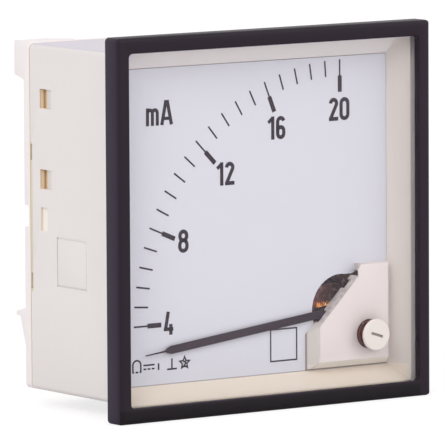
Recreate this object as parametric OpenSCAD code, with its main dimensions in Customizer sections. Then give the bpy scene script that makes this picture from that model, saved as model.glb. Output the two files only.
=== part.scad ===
// Moving-coil panel meter for a 92 x 92 mm panel cut-out, 90 degree scale.
// Frame: origin at the centre of the panel seat (back face of the bezel),
// +X right, +Y into the panel, +Z up. The dial faces -Y.

/* [Bezel] */
// Side of the square front bezel
bezel_size = 96; // [94:0.5:100]
// Depth of the bezel in front of the panel
bezel_depth = 5.6; // [5:0.1:8]
// Width of the frame beside the window
frame_side = 3.6; // [3:0.1:5]
// Width of the frame above and below the window
frame_top = 3.95; // [3:0.05:5]
// Depth of the lip in front of the window
lip_depth = 2; // [1:0.1:2.4]
// Radius of the bezel's upright corners
bezel_corner_r = 1.1; // [0.5:0.1:3]
// Width of the chamfer round the bezel's front edge
bezel_chamfer = 0.7; // [0.3:0.1:1]
// Wall of the bezel round the window and the case flange
bezel_wall = 2; // [1.6:0.1:2.4]

/* [Window] */
// Thickness of the clear window
window_t = 1.8; // [1.2:0.1:2]

/* [Case] */
// Step from the bezel's edge down to the case body
body_step = 4.2; // [3.8:0.1:5]
// Depth of the case from the panel seat to the rear seam
case_depth = 39.9; // [37:0.1:50]
// Thickness of the case walls
case_wall = 2.8; // [2.4:0.1:3]
// Radius of the case's upright corners
case_corner_r = 1.4; // [0.6:0.1:3]
// Depth of the locating flange behind the panel seat
flange_depth = 3; // [2:0.1:5]
// Thickness of the floor between the movement and the terminals
floor_t = 2; // [1.4:0.1:3]
// Depth of the funnel's sloped wall behind the window
funnel_depth = 4.6; // [3:0.1:6]
// How far the sloped wall steps in at the left and right
funnel_inset_x = 4.2; // [3:0.1:5]
// How far the sloped wall steps in at the top and bottom
funnel_inset_z = 4.3; // [3:0.1:5]
// How far the dial lies below the middle of the window
dial_drop = 0.25; // [0:0.05:0.5]
// Width of the ledge that carries the dial
ledge_w = 1.7; // [1:0.1:3]
// Thickness of that ledge
ledge_t = 1.4; // [1:0.1:3]

/* [Clamp slots] */
// Heights of the middle of the deep clamp slots
slot_heights = [30.2, 9.9];
// Height of each clamp slot
slot_h = 4.9; // [3:0.1:6]
// Depth of each clamp slot into the wall
slot_sink = 2.2; // [0.8:0.1:2.4]
// Depth of the ramp where it meets the deep end of the slot
ramp_sink = 0.7; // [0.4:0.1:1.4]
// Length of the flat floor of a clamp slot
slot_floor = 2.1; // [2:0.1:4]
// Length of the ramp in front of a clamp slot
slot_ramp = 4.2; // [2:0.1:6]
// Distance from a slot's rear end to the rear seam
slot_back = 4.5; // [3:0.1:8]
// Depth of the shallow recesses in the side walls
recess_sink = 0.7; // [0.2:0.1:1.6]

/* [Rear cover] */
// Thickness of the rear cover
rear_t = 2.65; // [2:0.05:4]
// Gap between the case and the rear cover at the seam
seam_gap = 0.15; // [0.05:0.05:0.3]
// Depth of the skirt that plugs into the case
skirt_depth = 2.2; // [1.5:0.1:4]
// Wall of that skirt
skirt_wall = 1.6; // [1:0.1:2.5]
// How far the corner lug stands out behind the rear cover
lug_depth = 4.2; // [2:0.1:6]

/* [Dial] */
// Thickness of the dial plate
dial_t = 1; // [0.6:0.1:1.4]
// Gap between the dial plate and the case all round
dial_gap = 0.15; // [0.05:0.05:0.4]
// Radius of the round cut-out over the movement
dial_hole_r = 8.9; // [8.4:0.1:9.6]
// Thickness of the printed marks
print_t = 0.06; // [0.04:0.01:0.2]
// Space between the first scale mark and the edge of the dial
scale_margin = 2.3; // [1:0.1:5]
// Length of the fine scale marks
fine_len = 4.1; // [2:0.1:5]
// Width of the fine scale marks
fine_w = 0.42; // [0.2:0.02:0.8]
// Length of the heavy inner part of the main marks
main_len = 4.15; // [2:0.05:6]
// Width of the heavy inner part of the main marks
main_w = 1.2; // [0.6:0.1:2]
// Number of main divisions on the scale
main_divisions = 4; // [2:1:6]
// Number of fine divisions in each main division
fine_divisions = 5; // [2:1:10]
// Angle of the whole scale
scale_span = 90; // [80:1:92]
// Largest angle by which the scale is spread in its middle
scale_spread = 0.9; // [0:0.1:2]

/* [Corner cover] */
// Height of the corner cover above the dial
cover_h = 3.7; // [3.5:0.1:4]
// Wall thickness of the corner cover
cover_wall = 1; // [0.8:0.05:1.2]
// How far the cover's sloped sides step in
cover_bevel = 2.1; // [1:0.1:3]
// Radius of the hole over the zero corrector
cover_hole_r = 3.7; // [3.2:0.1:4]
// Height of the arch that the pointer passes under
arch_h = 1.35; // [1.2:0.05:1.8]

/* [Zero corrector] */
// Radius of the head of the zero screw
zero_head_r = 4.05; // [3.4:0.05:4.6]
// Thickness of the head of the zero screw
zero_head_t = 0.9; // [0.7:0.1:1.2]
// Radius of the zero screw's shank
zero_shank_r = 2.4; // [1.8:0.1:3]
// Offset of the eccentric pin from the zero screw's axis
zero_offset = 1; // [0.6:0.1:1.2]
// Radius of the eccentric pin
zero_pin_r = 0.5; // [0.3:0.05:0.7]
// Clearance of the eccentric pin in the lever's fork
fork_gap = 0.1; // [0.08:0.01:0.2]

/* [Pointer] */
// Angle of the resting pointer below the first scale mark
rest_angle = 6.9; // [2:0.1:12]
// Angle that the pointer travels
travel = 101; // [90:1:104]
// Width of the pointer's bar
pointer_w = 2.05; // [1:0.05:3]
// Thickness of the pointer's sheet
pointer_t = 0.22; // [0.2:0.01:0.4]
// Distance from the pointer's bar to the outer ends of the scale marks
bar_short = 8.6; // [6:0.1:12]
// Distance from the pointer's fine tip to the outer ends of the scale marks
tip_short = 2.5; // [1:0.1:5]
// Height of the pointer above the dial
pointer_rise = 0.75; // [0.6:0.05:0.9]
// Radius of the bend where the pointer drops to its hub
pointer_drop_r = 5.7; // [5.3:0.1:6.2]
// Length of the pointer's tail
tail_len = 10.6; // [10:0.1:10.8]

/* [Movement] */
// Distance of the pointer's axis from the right edge of the dial
pivot_from_right = 14.6; // [14:0.1:16]
// Distance of the pointer's axis from the lower edge of the dial
pivot_from_low = 15.05; // [14.5:0.05:16]
// Outer radius of the soft iron ring
yoke_r = 12; // [11.4:0.1:12.4]
// Inner radius of the soft iron ring
yoke_bore_r = 7.9; // [7.8:0.05:8.2]
// Radius of the core magnet
core_r = 5.8; // [5:0.05:5.9]
// Length of the core magnet
core_len = 10.8; // [8:0.1:11]
// Gap between the core and the coil former
core_gap = 0.3; // [0.2:0.05:0.4]
// Thickness of the coil former
former_t = 0.3; // [0.2:0.05:0.4]
// Thickness of the copper winding
winding_t = 0.8; // [0.5:0.05:0.9]
// Width of the coil former
former_w = 3; // [2:0.1:3.4]
// Angle of the resting coil above the pointer
coil_lead = 20; // [10:1:24]
// Thickness of the movement base
base_t = 2.4; // [2:0.1:3]
// Gap between the movement base and the case wall
base_clear = 0.4; // [0.2:0.1:1]
// Radius of the jewel screws
jewel_r = 1.25; // [1:0.05:1.5]
// Running clearance on pivots and round holes
running_gap = 0.05; // [0.03:0.01:0.08]

// Turns of each hairspring
spring_turns = 9; // [6:1:12]

/* [Terminals] */
// Distance between the two terminal studs
stud_spacing = 40; // [30:1:50]
// Height of the terminal studs above the centre
stud_z = 8; // [4:1:12]
// Radius of the terminal studs
stud_r = 2; // [1.5:0.1:2.5]
// Length of the studs behind the rear cover
stud_out = 13.5; // [12:0.5:20]
// Thickness of the circuit board
board_t = 1.6; // [1:0.1:2]

/* [Hidden] */
$fn = 64;

// Depths from front to back, all on the Y axis
lip_y = -bezel_depth + lip_depth;
flange_y = lip_y + window_t;
dial_y = flange_y + funnel_depth;
dial_back = dial_y + dial_t;
ledge_back = dial_back + ledge_t;
cover_y = dial_y - cover_h;
rear_y = case_depth + seam_gap;
back_y = rear_y + rear_t;

// Bezel and case outlines
opening_w = bezel_size - 2 * frame_side;
opening_h = bezel_size - 2 * frame_top;
case_size = bezel_size - 2 * body_step;
pocket_size = bezel_size - 2 * bezel_wall;
snap_gap = 0.2;
flange_size = pocket_size - 2 * snap_gap;
case_inner = case_size - 2 * case_wall;
dial_w = opening_w - 2 * funnel_inset_x;
dial_h = opening_h - 2 * funnel_inset_z;
dial_low = -dial_h / 2 - dial_drop;
cut_over = 1;

// Pointer axis and the stack of pieces along it
pivot_x = dial_w / 2 - pivot_from_right;
pivot_z = dial_low + pivot_from_low;
scale_r = pivot_x + dial_w / 2 - scale_margin;
pointer_bar_r = scale_r - bar_short;
pointer_tip_r = scale_r - tip_short;
pointer_taper = 1.6;
base_size = 2 * (case_inner / 2 - pivot_x - base_clear);
pointer_y = dial_y - pointer_rise - pointer_t;
strap_t = 1.2;
strap_gap = 0.35;
strap_y = pointer_y + pointer_t + strap_gap;
lever_t = 0.5;
lever_gap = 0.15;
lever_y = strap_y + strap_t + lever_gap;
jewel_end_y = lever_y + lever_t + 0.45;
hub_y = jewel_end_y + 0.6;
front_spring_y = hub_y + pointer_t + 0.35;
spring_t = 0.4;
collet_t = 0.5;
winding_front = front_spring_y + spring_t + 0.3 + collet_t;
former_front = winding_front + winding_t;
core_front = former_front + former_t + core_gap;
core_back = core_front + core_len;
former_back = core_back + core_gap + former_t;
winding_back = former_back + winding_t;
yoke_front = core_front + 0.1;
yoke_len = core_len - 0.2;
yoke_back = yoke_front + yoke_len;
rear_spring_y = winding_back + collet_t + 0.1;
base_y = rear_spring_y + spring_t + 0.5;
floor_y = base_y + base_t;
rear_jewel_y = base_y + 0.7;
coil_in = core_r + core_gap;
coil_mid = coil_in + former_t;
coil_out = coil_mid + winding_t;
winding_w = former_w - 0.4;
collet_r = 1.2;
stub_r = 0.5;
cone_len = 0.78;
cup_r = 0.55;
cup_len = 0.8;

// Corner cover: plan corners and the diagonal edge
cover_left = pivot_x - 11.1;
cover_bottom = dial_low + dial_gap;
cover_right = dial_w / 2 - dial_gap;
cover_top = pivot_z + 11.35;
cover_diag = pivot_x - pivot_z - 5.3;
cover_step_x = pivot_x + 3;
cover_step_z = pivot_z + 10.15;
cover_cut = 0.8;
arch_x = pivot_x - 7.95;
arch_len = 3.7;
end_arch_x = pivot_x + 0.1;
end_arch_len = 2.9;
arch_out = 1.5;
arch_w = 3.7;
cover_lip = 0.4;

// Zero screw
zero_x = pivot_x + 6.15;
zero_z = pivot_z - 6.45;
zero_gap = 0.05;
clip_t = 0.5;
stem_end_y = 2;
arm_len = norm([zero_x - pivot_x, zero_z - pivot_z]) + zero_offset;
arm_angle = atan2(zero_z - pivot_z, zero_x - pivot_x);
zero_slot_len = 3.8;
zero_slot_w = 0.7;
zero_slot_depth = 0.5;

// Movement fittings
lever_arm_w = 1.6;
fork_back = 2.2;
fork_front = 1;
fork_side = 0.7;
tag_w = 1.2;
strap_angle = 45;
post_r = 1.8;
post_at = 10;
strap_w = 3.2;
strap_hub_w = 1.2;
screw_r = 0.9;
screw_head_r = 1.6;
screw_head_t = 0.9;
bridge_screw_len = 11;
screw_gap = 0.05;
pillar_r = 1.7;
pillar_at = (yoke_r + yoke_bore_r) / 2;
base_screw_at = base_size / 2 - 2.7;
base_screw_r = 1.25;
base_head_r = 2.1;
base_head_t = 1.4;
nut_t = 1.4;
nut_r = 2.4;
stop_r = 0.5;
stop_sink = 1.9;
stop_at = 10.2;
tail_w = 1.4;
weight_from = 4.4;
weight_len = 4;
weight_w = 6.8;
weight_gap = 0.1;
spring_in = 0.75;
spring_out = 6.4;
spring_w = 0.14;
anchor_r = 0.35;
anchor_at = spring_out + spring_w + anchor_r;

// Terminals and circuit board
boss_r = 5;
boss_len = 2.45;
pad_r = 6.5;
pad_t = 0.6;
board_y = rear_y - boss_len - board_t;
board_w = stud_spacing + 14;
board_h = 38;
board_z = -3;
head_t = 2.6;
hex_r = 2 * stud_r + 0.04;
stud_gap = 0.1;
washer_r = 4.5;
washer_t = 0.8;
hex_nut_t = 3.2;
stud_end_len = 4.8;
stud_tip = 0.4;
neck_r = 1.65;
neck_len = 0.8;
resistor_r = 2.2;
resistor_len = 11;
resistor_z = [2, -6];
lead_r = 0.35;
wire_r = 0.55;
wire_hole = [pivot_x - 22.4, pivot_z - 1.1, 6.4, 13];
wire_apart = 4;
dial_bosses = [[pivot_x + 11.3, pivot_z + 7.8], [pivot_x - 7.8, pivot_z - 11.5]];
dial_screw_r = 1.5;
dial_screw_head_t = 0.8;
dial_boss_depth = 4.2;
dial_boss_w = 4.4;

// A flat shape in the X-Z plane, from y0 back to y1
module slab(y0, y1) {
    translate([0, y1, 0]) rotate([90, 0, 0]) linear_extrude(y1 - y0) children();
}

// A shape turned about the Y axis; its profile is drawn as [radius, -y]
module turned() {
    rotate([90, 0, 0]) rotate_extrude() children();
}

// A round bar along Y, from y0 back to y1
module bar(r, y0, y1, r_end = undef) {
    translate([0, y1, 0]) rotate([90, 0, 0])
        cylinder(h = y1 - y0, r1 = is_undef(r_end) ? r : r_end, r2 = r);
}

// A hexagonal bar along Y
module hex_bar(r, y0, y1) {
    translate([0, y1, 0]) rotate([90, 0, 0]) cylinder(h = y1 - y0, r = r, $fn = 6);
}

// Children moved to the pointer's axis
module at_pivot() {
    translate([pivot_x, 0, pivot_z]) children();
}

// Children turned from the +X direction towards +Z
module swing(angle) {
    rotate([0, -angle, 0]) children();
}

// Points of a rectangle with round corners
function rounded(w, h, r, n = 6) = [
    for (c = [[1, 1, 0], [-1, 1, 90], [-1, -1, 180], [1, -1, 270]])
        for (i = [0 : n])
            [c[0] * (w / 2 - r) + r * cos(c[2] + 90 * i / n),
             c[1] * (h / 2 - r) + r * sin(c[2] + 90 * i / n)]
];

// The four-sided funnel between the window and the dial
module funnel(w, h, inset_x, inset_z, drop, y0, y1, over) {
    intersection() {
        translate([0, 0, -bezel_size / 2]) linear_extrude(bezel_size)
            polygon([[-w / 2, y0 - over], [w / 2, y0 - over], [w / 2, y0],
                     [w / 2 - inset_x, y1], [-w / 2 + inset_x, y1], [-w / 2, y0]]);
        rotate([90, 0, 90]) translate([0, 0, -bezel_size / 2]) linear_extrude(bezel_size)
            polygon([[y0 - over, -h / 2], [y0, -h / 2], [y1, -h / 2 + inset_z - drop],
                     [y1, h / 2 - inset_z - drop], [y0, h / 2], [y0 - over, h / 2]]);
    }
}

// One long edge chamfer, used on all four sides of the bezel's front
module edge_chamfer(size, y, w) {
    for (side = [0 : 90 : 270]) rotate([0, side, 0])
        translate([0, 0, -size / 2 - cut_over]) linear_extrude(size + 2 * cut_over)
            polygon([[size / 2 - w, y - cut_over], [size / 2 - w, y], [size / 2, y + w],
                     [size / 2 + cut_over, y + w], [size / 2 + cut_over, y - cut_over]]);
}

module front_bezel() {
    color([0.2, 0.19, 0.22]) difference() {
        slab(-bezel_depth, 0) polygon(rounded(bezel_size, bezel_size, bezel_corner_r));
        slab(-bezel_depth - cut_over, lip_y + cut_over)
            polygon(rounded(opening_w, opening_h, bezel_corner_r));
        slab(lip_y, cut_over) polygon(rounded(pocket_size, pocket_size, bezel_corner_r));
        edge_chamfer(bezel_size, -bezel_depth, bezel_chamfer);
    }
}

module window() {
    color([0.9, 0.95, 1, 0.25]) difference() {
        slab(lip_y, flange_y) polygon(rounded(flange_size, flange_size, bezel_corner_r));
        translate([zero_x, 0, zero_z])
            bar(zero_shank_r + running_gap, lip_y - cut_over, flange_y + cut_over);
    }
}

// One clamp slot: a flat floor with a ramp rising to the surface in front of it
module clamp_slot(z) {
    back = case_depth - slot_back;
    translate([-case_size / 2, 0, z - slot_h / 2]) linear_extrude(slot_h)
        polygon([[-cut_over, back], [slot_sink, back], [slot_sink, back - slot_floor],
                 [ramp_sink, back - slot_floor], [0, back - slot_floor - slot_ramp],
                 [-cut_over, back - slot_floor - slot_ramp]]);
}

// Shallow moulded frame on the side wall, with a plain field inside
module side_frame(y0, y1, z0, z1, line, sink) {
    translate([-case_size / 2 - cut_over, 0, 0]) rotate([90, 0, 90])
        linear_extrude(sink + cut_over) difference() {
            translate([y0, z0]) square([y1 - y0, z1 - z0]);
            translate([y0 + line, z0 + line]) square([y1 - y0 - 2 * line, z1 - z0 - 2 * line]);
        }
}

// Everything that is cut from one side wall
module side_cuts() {
    for (z = slot_heights) clamp_slot(z);
    translate([-case_size / 2 - cut_over, case_depth - slot_back - recess_w, recess_low])
        cube([recess_sink + cut_over, recess_w, recess_h]);
    side_frame(14.7, 28.2, -16.7, -4.2, 0.5, 0.25);
    for (z = latch_heights)
        translate([-case_size / 2 - cut_over, case_depth - latch_depth, z - latch_h / 2])
            cube([case_wall + 2 * cut_over, latch_depth + cut_over, latch_h]);
}
recess_w = 3.2;
recess_h = 6;
recess_low = -3.2;
latch_heights = [16.4, -16.2];
latch_h = 4;
latch_depth = 0.8;

module case_shell() {
    color([0.9, 0.885, 0.87]) difference() {
        union() {
            slab(flange_y, flange_depth) polygon(rounded(flange_size, flange_size, case_corner_r));
            slab(flange_depth - 0.5, case_depth)
                polygon(rounded(case_size, case_size, case_corner_r));
        }
        funnel(opening_w, opening_h, funnel_inset_x, funnel_inset_z, dial_drop,
               flange_y, dial_y, cut_over);
        slab(dial_y - 0.01, dial_back) dial_field(0);
        difference() {
            union() {
                slab(dial_back - 0.01, ledge_back) dial_field(ledge_w);
                slab(ledge_back - 0.01, floor_y) square(case_inner, center = true);
            }
            dial_boss_blocks();
        }
        slab(floor_y + floor_t, case_depth + cut_over)
            polygon(rounded(case_inner, case_inner, case_corner_r / 2));
        at_pivot() bar(nut_r + 1.4, floor_y - cut_over, floor_y + floor_t + cut_over);
        slab(floor_y - cut_over, floor_y + floor_t + cut_over)
            translate([wire_hole[0], wire_hole[1]]) square([wire_hole[2], wire_hole[3]]);
        for (p = dial_bosses)
            translate([p[0], 0, p[1]]) bar(screw_r, dial_back - cut_over, dial_back + dial_boss_depth - 0.6);
        at_pivot() for (x = [-1, 1]) for (z = [-1, 1])
            translate([x * base_screw_at, 0, z * base_screw_at])
                bar(base_screw_r, floor_y - cut_over, floor_y + floor_t + cut_over);
        for (m = [0, 1]) mirror([m, 0, 0]) side_cuts();
    }
}

// The dial's rectangle, smaller by a gap on every side
module dial_field(gap) {
    translate([-dial_w / 2 + gap, dial_low + gap])
        square([dial_w - 2 * gap, dial_h - 2 * gap]);
}

// Blocks on the case walls that the dial screws go into
module dial_boss_blocks() {
    right = dial_bosses[0];
    low = dial_bosses[1];
    translate([right[0] - dial_boss_w / 2, dial_back, right[1] - dial_boss_w / 2])
        cube([case_size / 2 - right[0], dial_boss_depth, dial_boss_w]);
    translate([low[0] - dial_boss_w / 2, dial_back, -case_size / 2])
        cube([dial_boss_w, dial_boss_depth, case_size / 2 + low[1] + dial_boss_w / 2]);
}

// Corner lug on the back of the rear cover, seen from above
module corner_lug() {
    left = -case_size / 2;
    top = case_size / 2 + 0.35;
    intersection() {
        translate([0, 0, top - 11]) linear_extrude(11)
            polygon([[left, rear_y + 0.5], [left, back_y + lug_depth], [left + 10, back_y + lug_depth],
                     [left + 14, back_y], [left + 14, rear_y + 0.5]]);
        rotate([90, 0, 90]) translate([0, 0, left - 1]) linear_extrude(16)
            polygon([[rear_y, top], [back_y + lug_depth, top], [back_y + lug_depth, top - 8.5],
                     [back_y, top - 9.7], [rear_y, top - 9.7]]);
    }
}

// Hooked fin on the edge of the rear cover
module side_fin() {
    rotate([90, 0, 90]) translate([0, 0, -case_size / 2]) linear_extrude(1.8)
        polygon([[back_y - 0.5, -23.4], [back_y, -23.4], [back_y + lug_depth, -24.6],
                 [back_y + lug_depth, -25.5], [back_y + 2.3, -25.8],
                 [back_y + 0.8, -30.8], [back_y, -33], [back_y - 0.5, -33]]);
}

module rear_cover() {
    skirt = case_inner - 2 * dial_gap;
    color([0.92, 0.905, 0.89]) difference() {
        union() {
            slab(rear_y, back_y) polygon(rounded(case_size, case_size, case_corner_r));
            difference() {
                slab(rear_y - skirt_depth, rear_y + 0.5)
                    polygon(rounded(skirt, skirt, case_corner_r));
                slab(rear_y - skirt_depth - cut_over, rear_y)
                    square(skirt - 2 * skirt_wall, center = true);
            }
            for (m = [0, 1]) mirror([m, 0, 0]) {
                for (z = latch_heights)
                    translate([-case_inner / 2 - 0.9, case_depth - latch_depth + 0.15,
                               z - latch_h / 2 + 0.2])
                        cube([2, latch_depth + 0.5, latch_h - 0.4]);
                side_fin();
            }
            corner_lug();
            for (x = [-1, 1]) translate([x * stud_spacing / 2, 0, stud_z]) {
                bar(boss_r, rear_y - boss_len, rear_y + 0.5);
                bar(pad_r, back_y - 0.5, back_y + pad_t);
            }
        }
        for (x = [-1, 1]) translate([x * stud_spacing / 2, 0, stud_z])
            bar(stud_r + stud_gap, rear_y - boss_len - cut_over, back_y + pad_t + cut_over);
        for (m = [0, 1]) mirror([m, 0, 0])
            translate([-case_size / 2 - cut_over, rear_y + 0.9, -2.75])
                cube([cut_over + 2.4, rear_t, 5.45]);
    }
}

// Plan of the corner cover; grow makes it larger on every side
module cover_plan(grow) {
    diag = cover_diag - grow * sqrt(2);
    left = cover_left - grow;
    step_x = cover_step_x - grow;
    polygon([
        [left, cover_bottom - grow], [left, left - diag],
        [step_x, step_x - diag], [step_x, cover_step_z + grow],
        [step_x + cover_cut, cover_top + grow], [cover_right + grow, cover_top + grow],
        [cover_right + grow, cover_bottom - grow]
    ]);
}

// The solid inside the cover's outer faces, sloped at its left, right and bottom
module cover_body(grow, y0, y1) {
    rise = cover_bevel / cover_h;
    shift = (cover_y - y0) * rise;
    base = (dial_y - y1) * rise;
    intersection() {
        slab(y0, y1) cover_plan(grow);
        translate([0, 0, -bezel_size / 2]) linear_extrude(bezel_size)
            polygon([[cover_left - grow + base, y1],
                     [cover_left - grow + cover_bevel + shift, y0],
                     [cover_right + grow - cover_bevel - shift, y0],
                     [cover_right + grow - base, y1]]);
        rotate([90, 0, 90]) translate([0, 0, -bezel_size / 2]) linear_extrude(bezel_size)
            polygon([[y1, cover_bottom - grow + base],
                     [y0, cover_bottom - grow + cover_bevel + shift],
                     [y0, cover_top + grow], [y1, cover_top + grow]]);
    }
}

module corner_cover() {
    color([0.9, 0.87, 0.84]) difference() {
        cover_body(0, cover_y, dial_y);
        cover_body(-cover_wall, cover_y + cover_wall, dial_y + cut_over);
        translate([zero_x, 0, zero_z]) bar(cover_hole_r, cover_y - cut_over, cover_y + 2 * cover_wall);
        slab(dial_y - arch_h, dial_y + cut_over) {
            along_diagonal(arch_x, arch_len, arch_out, arch_w);
            along_diagonal(end_arch_x, end_arch_len, arch_out, arch_w);
        }
        slab(cover_y + cover_lip, dial_y + cut_over) polygon([
            [cover_step_x - cover_wall, cover_step_x - cover_diag + 0.1],
            [cover_step_x + cover_cut + cover_wall / 2, cover_step_x - cover_diag + 0.1],
            [cover_step_x + cover_cut + cover_wall / 2, cover_top + cut_over],
            [cover_step_x - cover_wall, cover_top + cut_over]
        ]);
    }
}

// A strip of some length and width along the cover's diagonal edge, from x onwards
module along_diagonal(x, length, outside, width) {
    translate([x, x - cover_diag]) rotate(45) translate([0, outside - width])
        square([length, width]);
}

// Opening in the dial for the movement, most of it under the corner cover
module dial_opening() {
    at = [pivot_x, pivot_z];
    left = cover_left + cover_wall + 0.8;
    right = pivot_x + 9.4;
    far = pivot_x + 12;
    translate(at) circle(r = dial_hole_r);
    polygon([[pivot_x, pivot_z + dial_hole_r - 0.1], [pivot_x + 3.6, pivot_z + dial_hole_r - 0.1],
             [pivot_x + 5.6, cover_top - 1.6], [pivot_x + 5.6, pivot_z], [pivot_x, pivot_z]]);
    polygon([[left, left - cover_diag - 1.7], [cover_step_x + 1.6, cover_step_x - 0.1 - cover_diag],
             [cover_step_x + 1.6, pivot_z + 9.5], [right, pivot_z + 9.5],
             [right, pivot_z + 5.3], [far, pivot_z + 5.3], [far, pivot_z - 12.3],
             [pivot_x - 5.4, pivot_z - 12.3], [pivot_x - 5.4, pivot_z - 10], [left, pivot_z - 10]]);
}

module dial_plate() {
    color([0.95, 0.95, 0.96]) difference() {
        slab(dial_y, dial_back) difference() {
            dial_field(dial_gap);
            dial_opening();
        }
        for (p = dial_bosses)
            translate([p[0], 0, p[1]]) bar(screw_r + 0.1, dial_y - cut_over, dial_back + cut_over);
    }
}

// Angle of a point on the scale, slightly spread in the middle
function scale_angle(u) = scale_span * u + scale_spread * sin(180 * u * u);

// One straight mark along a radius of the scale
module mark(angle, r0, r1, w) {
    at_pivot() swing(180 - angle)
        translate([r0, dial_y - print_t, -w / 2]) cube([r1 - r0, print_t, w]);
}

module scale_marks() {
    count = main_divisions * fine_divisions;
    color([0.25, 0.24, 0.27]) for (i = [0 : count]) {
        angle = scale_angle(i / count);
        main = i % fine_divisions == 0;
        if (main) {
            mark(angle, scale_r - fine_len - main_len, scale_r - fine_len, main_w);
        }
        mark(angle, scale_r - fine_len, scale_r, fine_w);
    }
}

// A slotted cheese-head screw along Y, its head in front
module small_screw(head_r, head_t, r, y, len) {
    difference() {
        union() {
            bar(head_r, y - head_t, y);
            bar(r, y - head_t / 2, y + len);
        }
        translate([-head_r - cut_over, y - head_t - cut_over, -head_r / 7])
            cube([2 * (head_r + cut_over), cut_over + head_t * 0.45, head_r / 3.5]);
    }
}

module dial_screws() {
    color([0.75, 0.75, 0.74]) for (p = dial_bosses)
        translate([p[0], 0, p[1]]) small_screw(dial_screw_r, dial_screw_head_t, screw_r - 0.02,
                                                  dial_y, dial_t + dial_boss_depth - 1);
}

// The pointer: tip, bar, a leg down to the hub, and the tail
module pointer() {
    leg_t = pointer_t;
    color([0.28, 0.26, 0.29]) at_pivot() swing(180 + rest_angle) difference() {
        union() {
            slab(pointer_y, pointer_y + pointer_t) polygon([
                [pointer_drop_r, pointer_w / 2], [pointer_bar_r - pointer_taper, pointer_w / 2],
                [pointer_bar_r - pointer_taper / 3, pointer_w / 3.2],
                [pointer_bar_r, pointer_tip_w / 2], [pointer_tip_r, pointer_end_w / 2],
                [pointer_tip_r, -pointer_end_w / 2], [pointer_bar_r, -pointer_tip_w / 2],
                [pointer_bar_r - pointer_taper / 3, -pointer_w / 3.2],
                [pointer_bar_r - pointer_taper, -pointer_w / 2], [pointer_drop_r, -pointer_w / 2]
            ]);
            translate([pointer_drop_r, pointer_y, -pointer_w / 2])
                cube([leg_t, hub_y + pointer_t - pointer_y, pointer_w]);
            slab(hub_y, hub_y + pointer_t) union() {
                translate([0, -pointer_w / 2]) square([pointer_drop_r + leg_t, pointer_w]);
                translate([-tail_len, -tail_w / 2]) square([tail_len, tail_w]);
                circle(r = 1.7);
            }
        }
        bar(stub_r, hub_y - cut_over, hub_y + pointer_t + cut_over);
    }
}
pointer_tip_w = 0.42;
pointer_end_w = 0.24;

// Weight on the tail, between the lever in front and the hairspring behind
module balance_weight() {
    gap = 0.02;
    front = lever_y + lever_t + pin_over + weight_gap;
    back = front_spring_y - weight_gap;
    color([0.8, 0.65, 0.35]) at_pivot() swing(180 + rest_angle) difference() {
        translate([-weight_from - weight_len, front, -weight_w / 2])
            cube([weight_len, back - front, weight_w]);
        translate([-tail_len - cut_over, hub_y - gap, -tail_w / 2 - gap])
            cube([tail_len, pointer_t + 2 * gap, tail_w + 2 * gap]);
    }
}
pin_over = 0.25;

// A rectangular loop round the core, in the plane of the coil
module coil_loop(r_in, r_out, front_in, back_in, t, w) {
    translate([0, 0, -w / 2]) linear_extrude(w) difference() {
        translate([-r_out, front_in - t]) square([2 * r_out, back_in - front_in + 2 * t]);
        translate([-r_in, front_in]) square([2 * r_in, back_in - front_in]);
    }
}

module at_coil() {
    at_pivot() swing(180 + rest_angle - coil_lead) children();
}

module coil_former() {
    color([0.7, 0.7, 0.72]) at_coil()
        coil_loop(coil_in, coil_mid, former_front + former_t, former_back - former_t, former_t, former_w);
}

module coil_winding() {
    color([0.8, 0.45, 0.2]) at_coil()
        coil_loop(coil_mid, coil_out, former_front, former_back, winding_t, winding_w);
}

// A pivot glued to the coil: a plate, a stub and a cone; side is 1 towards the front
module pivot_stub(face_y, cone_y, side) {
    translate([0, face_y, 0]) rotate([side > 0 ? 90 : -90, 0, 0]) {
        cylinder(h = collet_t, r = collet_r);
        cylinder(h = abs(face_y - cone_y), r = stub_r - 0.005);
        translate([0, 0, abs(face_y - cone_y)]) cylinder(h = cone_len - 0.1, r1 = stub_r - 0.005, r2 = 0.03);
    }
}

module front_pivot() {
    color([0.6, 0.6, 0.62]) at_pivot() pivot_stub(winding_front, jewel_end_y + 0.15, 1);
}

module rear_pivot() {
    color([0.6, 0.6, 0.62]) at_pivot() pivot_stub(winding_back, rear_jewel_y - 0.15, -1);
}

// A flat spiral spring with its inner end on the stub and its outer end on the anchor
module hairspring(y, end_angle) {
    steps = 16 * spring_turns;
    function spiral(i, r_add) =
        let (a = end_angle - 360 * spring_turns + 360 * spring_turns * i / steps,
             r = spring_in + (spring_out - spring_in) * i / steps + r_add)
        [r * cos(a), r * sin(a)];
    color([0.85, 0.6, 0.35]) at_pivot() slab(y, y + spring_t)
        polygon(concat([for (i = [0 : steps]) spiral(i, 0)],
                       [for (i = [steps : -1 : 0]) spiral(i, spring_w)]));
}

module front_hairspring() {
    hairspring(front_spring_y, strap_angle + 180);
}

module rear_hairspring() {
    hairspring(rear_spring_y, strap_angle);
}

module zero_screw() {
    front = lip_y - zero_gap - zero_head_t;
    toward = arm_angle;
    color([0.93, 0.92, 0.9]) translate([zero_x, 0, zero_z]) {
        difference() {
            union() {
                turned() polygon([
                    [0, -front], [zero_head_r - 0.25, -front], [zero_head_r, -front - 0.25],
                    [zero_head_r, -front - zero_head_t], [zero_shank_r, -front - zero_head_t],
                    [zero_shank_r, -stem_end_y], [0, -stem_end_y]
                ]);
                translate([zero_offset * cos(toward), 0, zero_offset * sin(toward)])
                    bar(zero_pin_r, stem_end_y - 0.5, lever_y + lever_t + pin_over);
            }
            rotate([0, 18, 0]) translate([-zero_slot_len / 2, front - cut_over, -zero_slot_w / 2])
                cube([zero_slot_len, cut_over + zero_slot_depth, zero_slot_w]);
        }
    }
}

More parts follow.
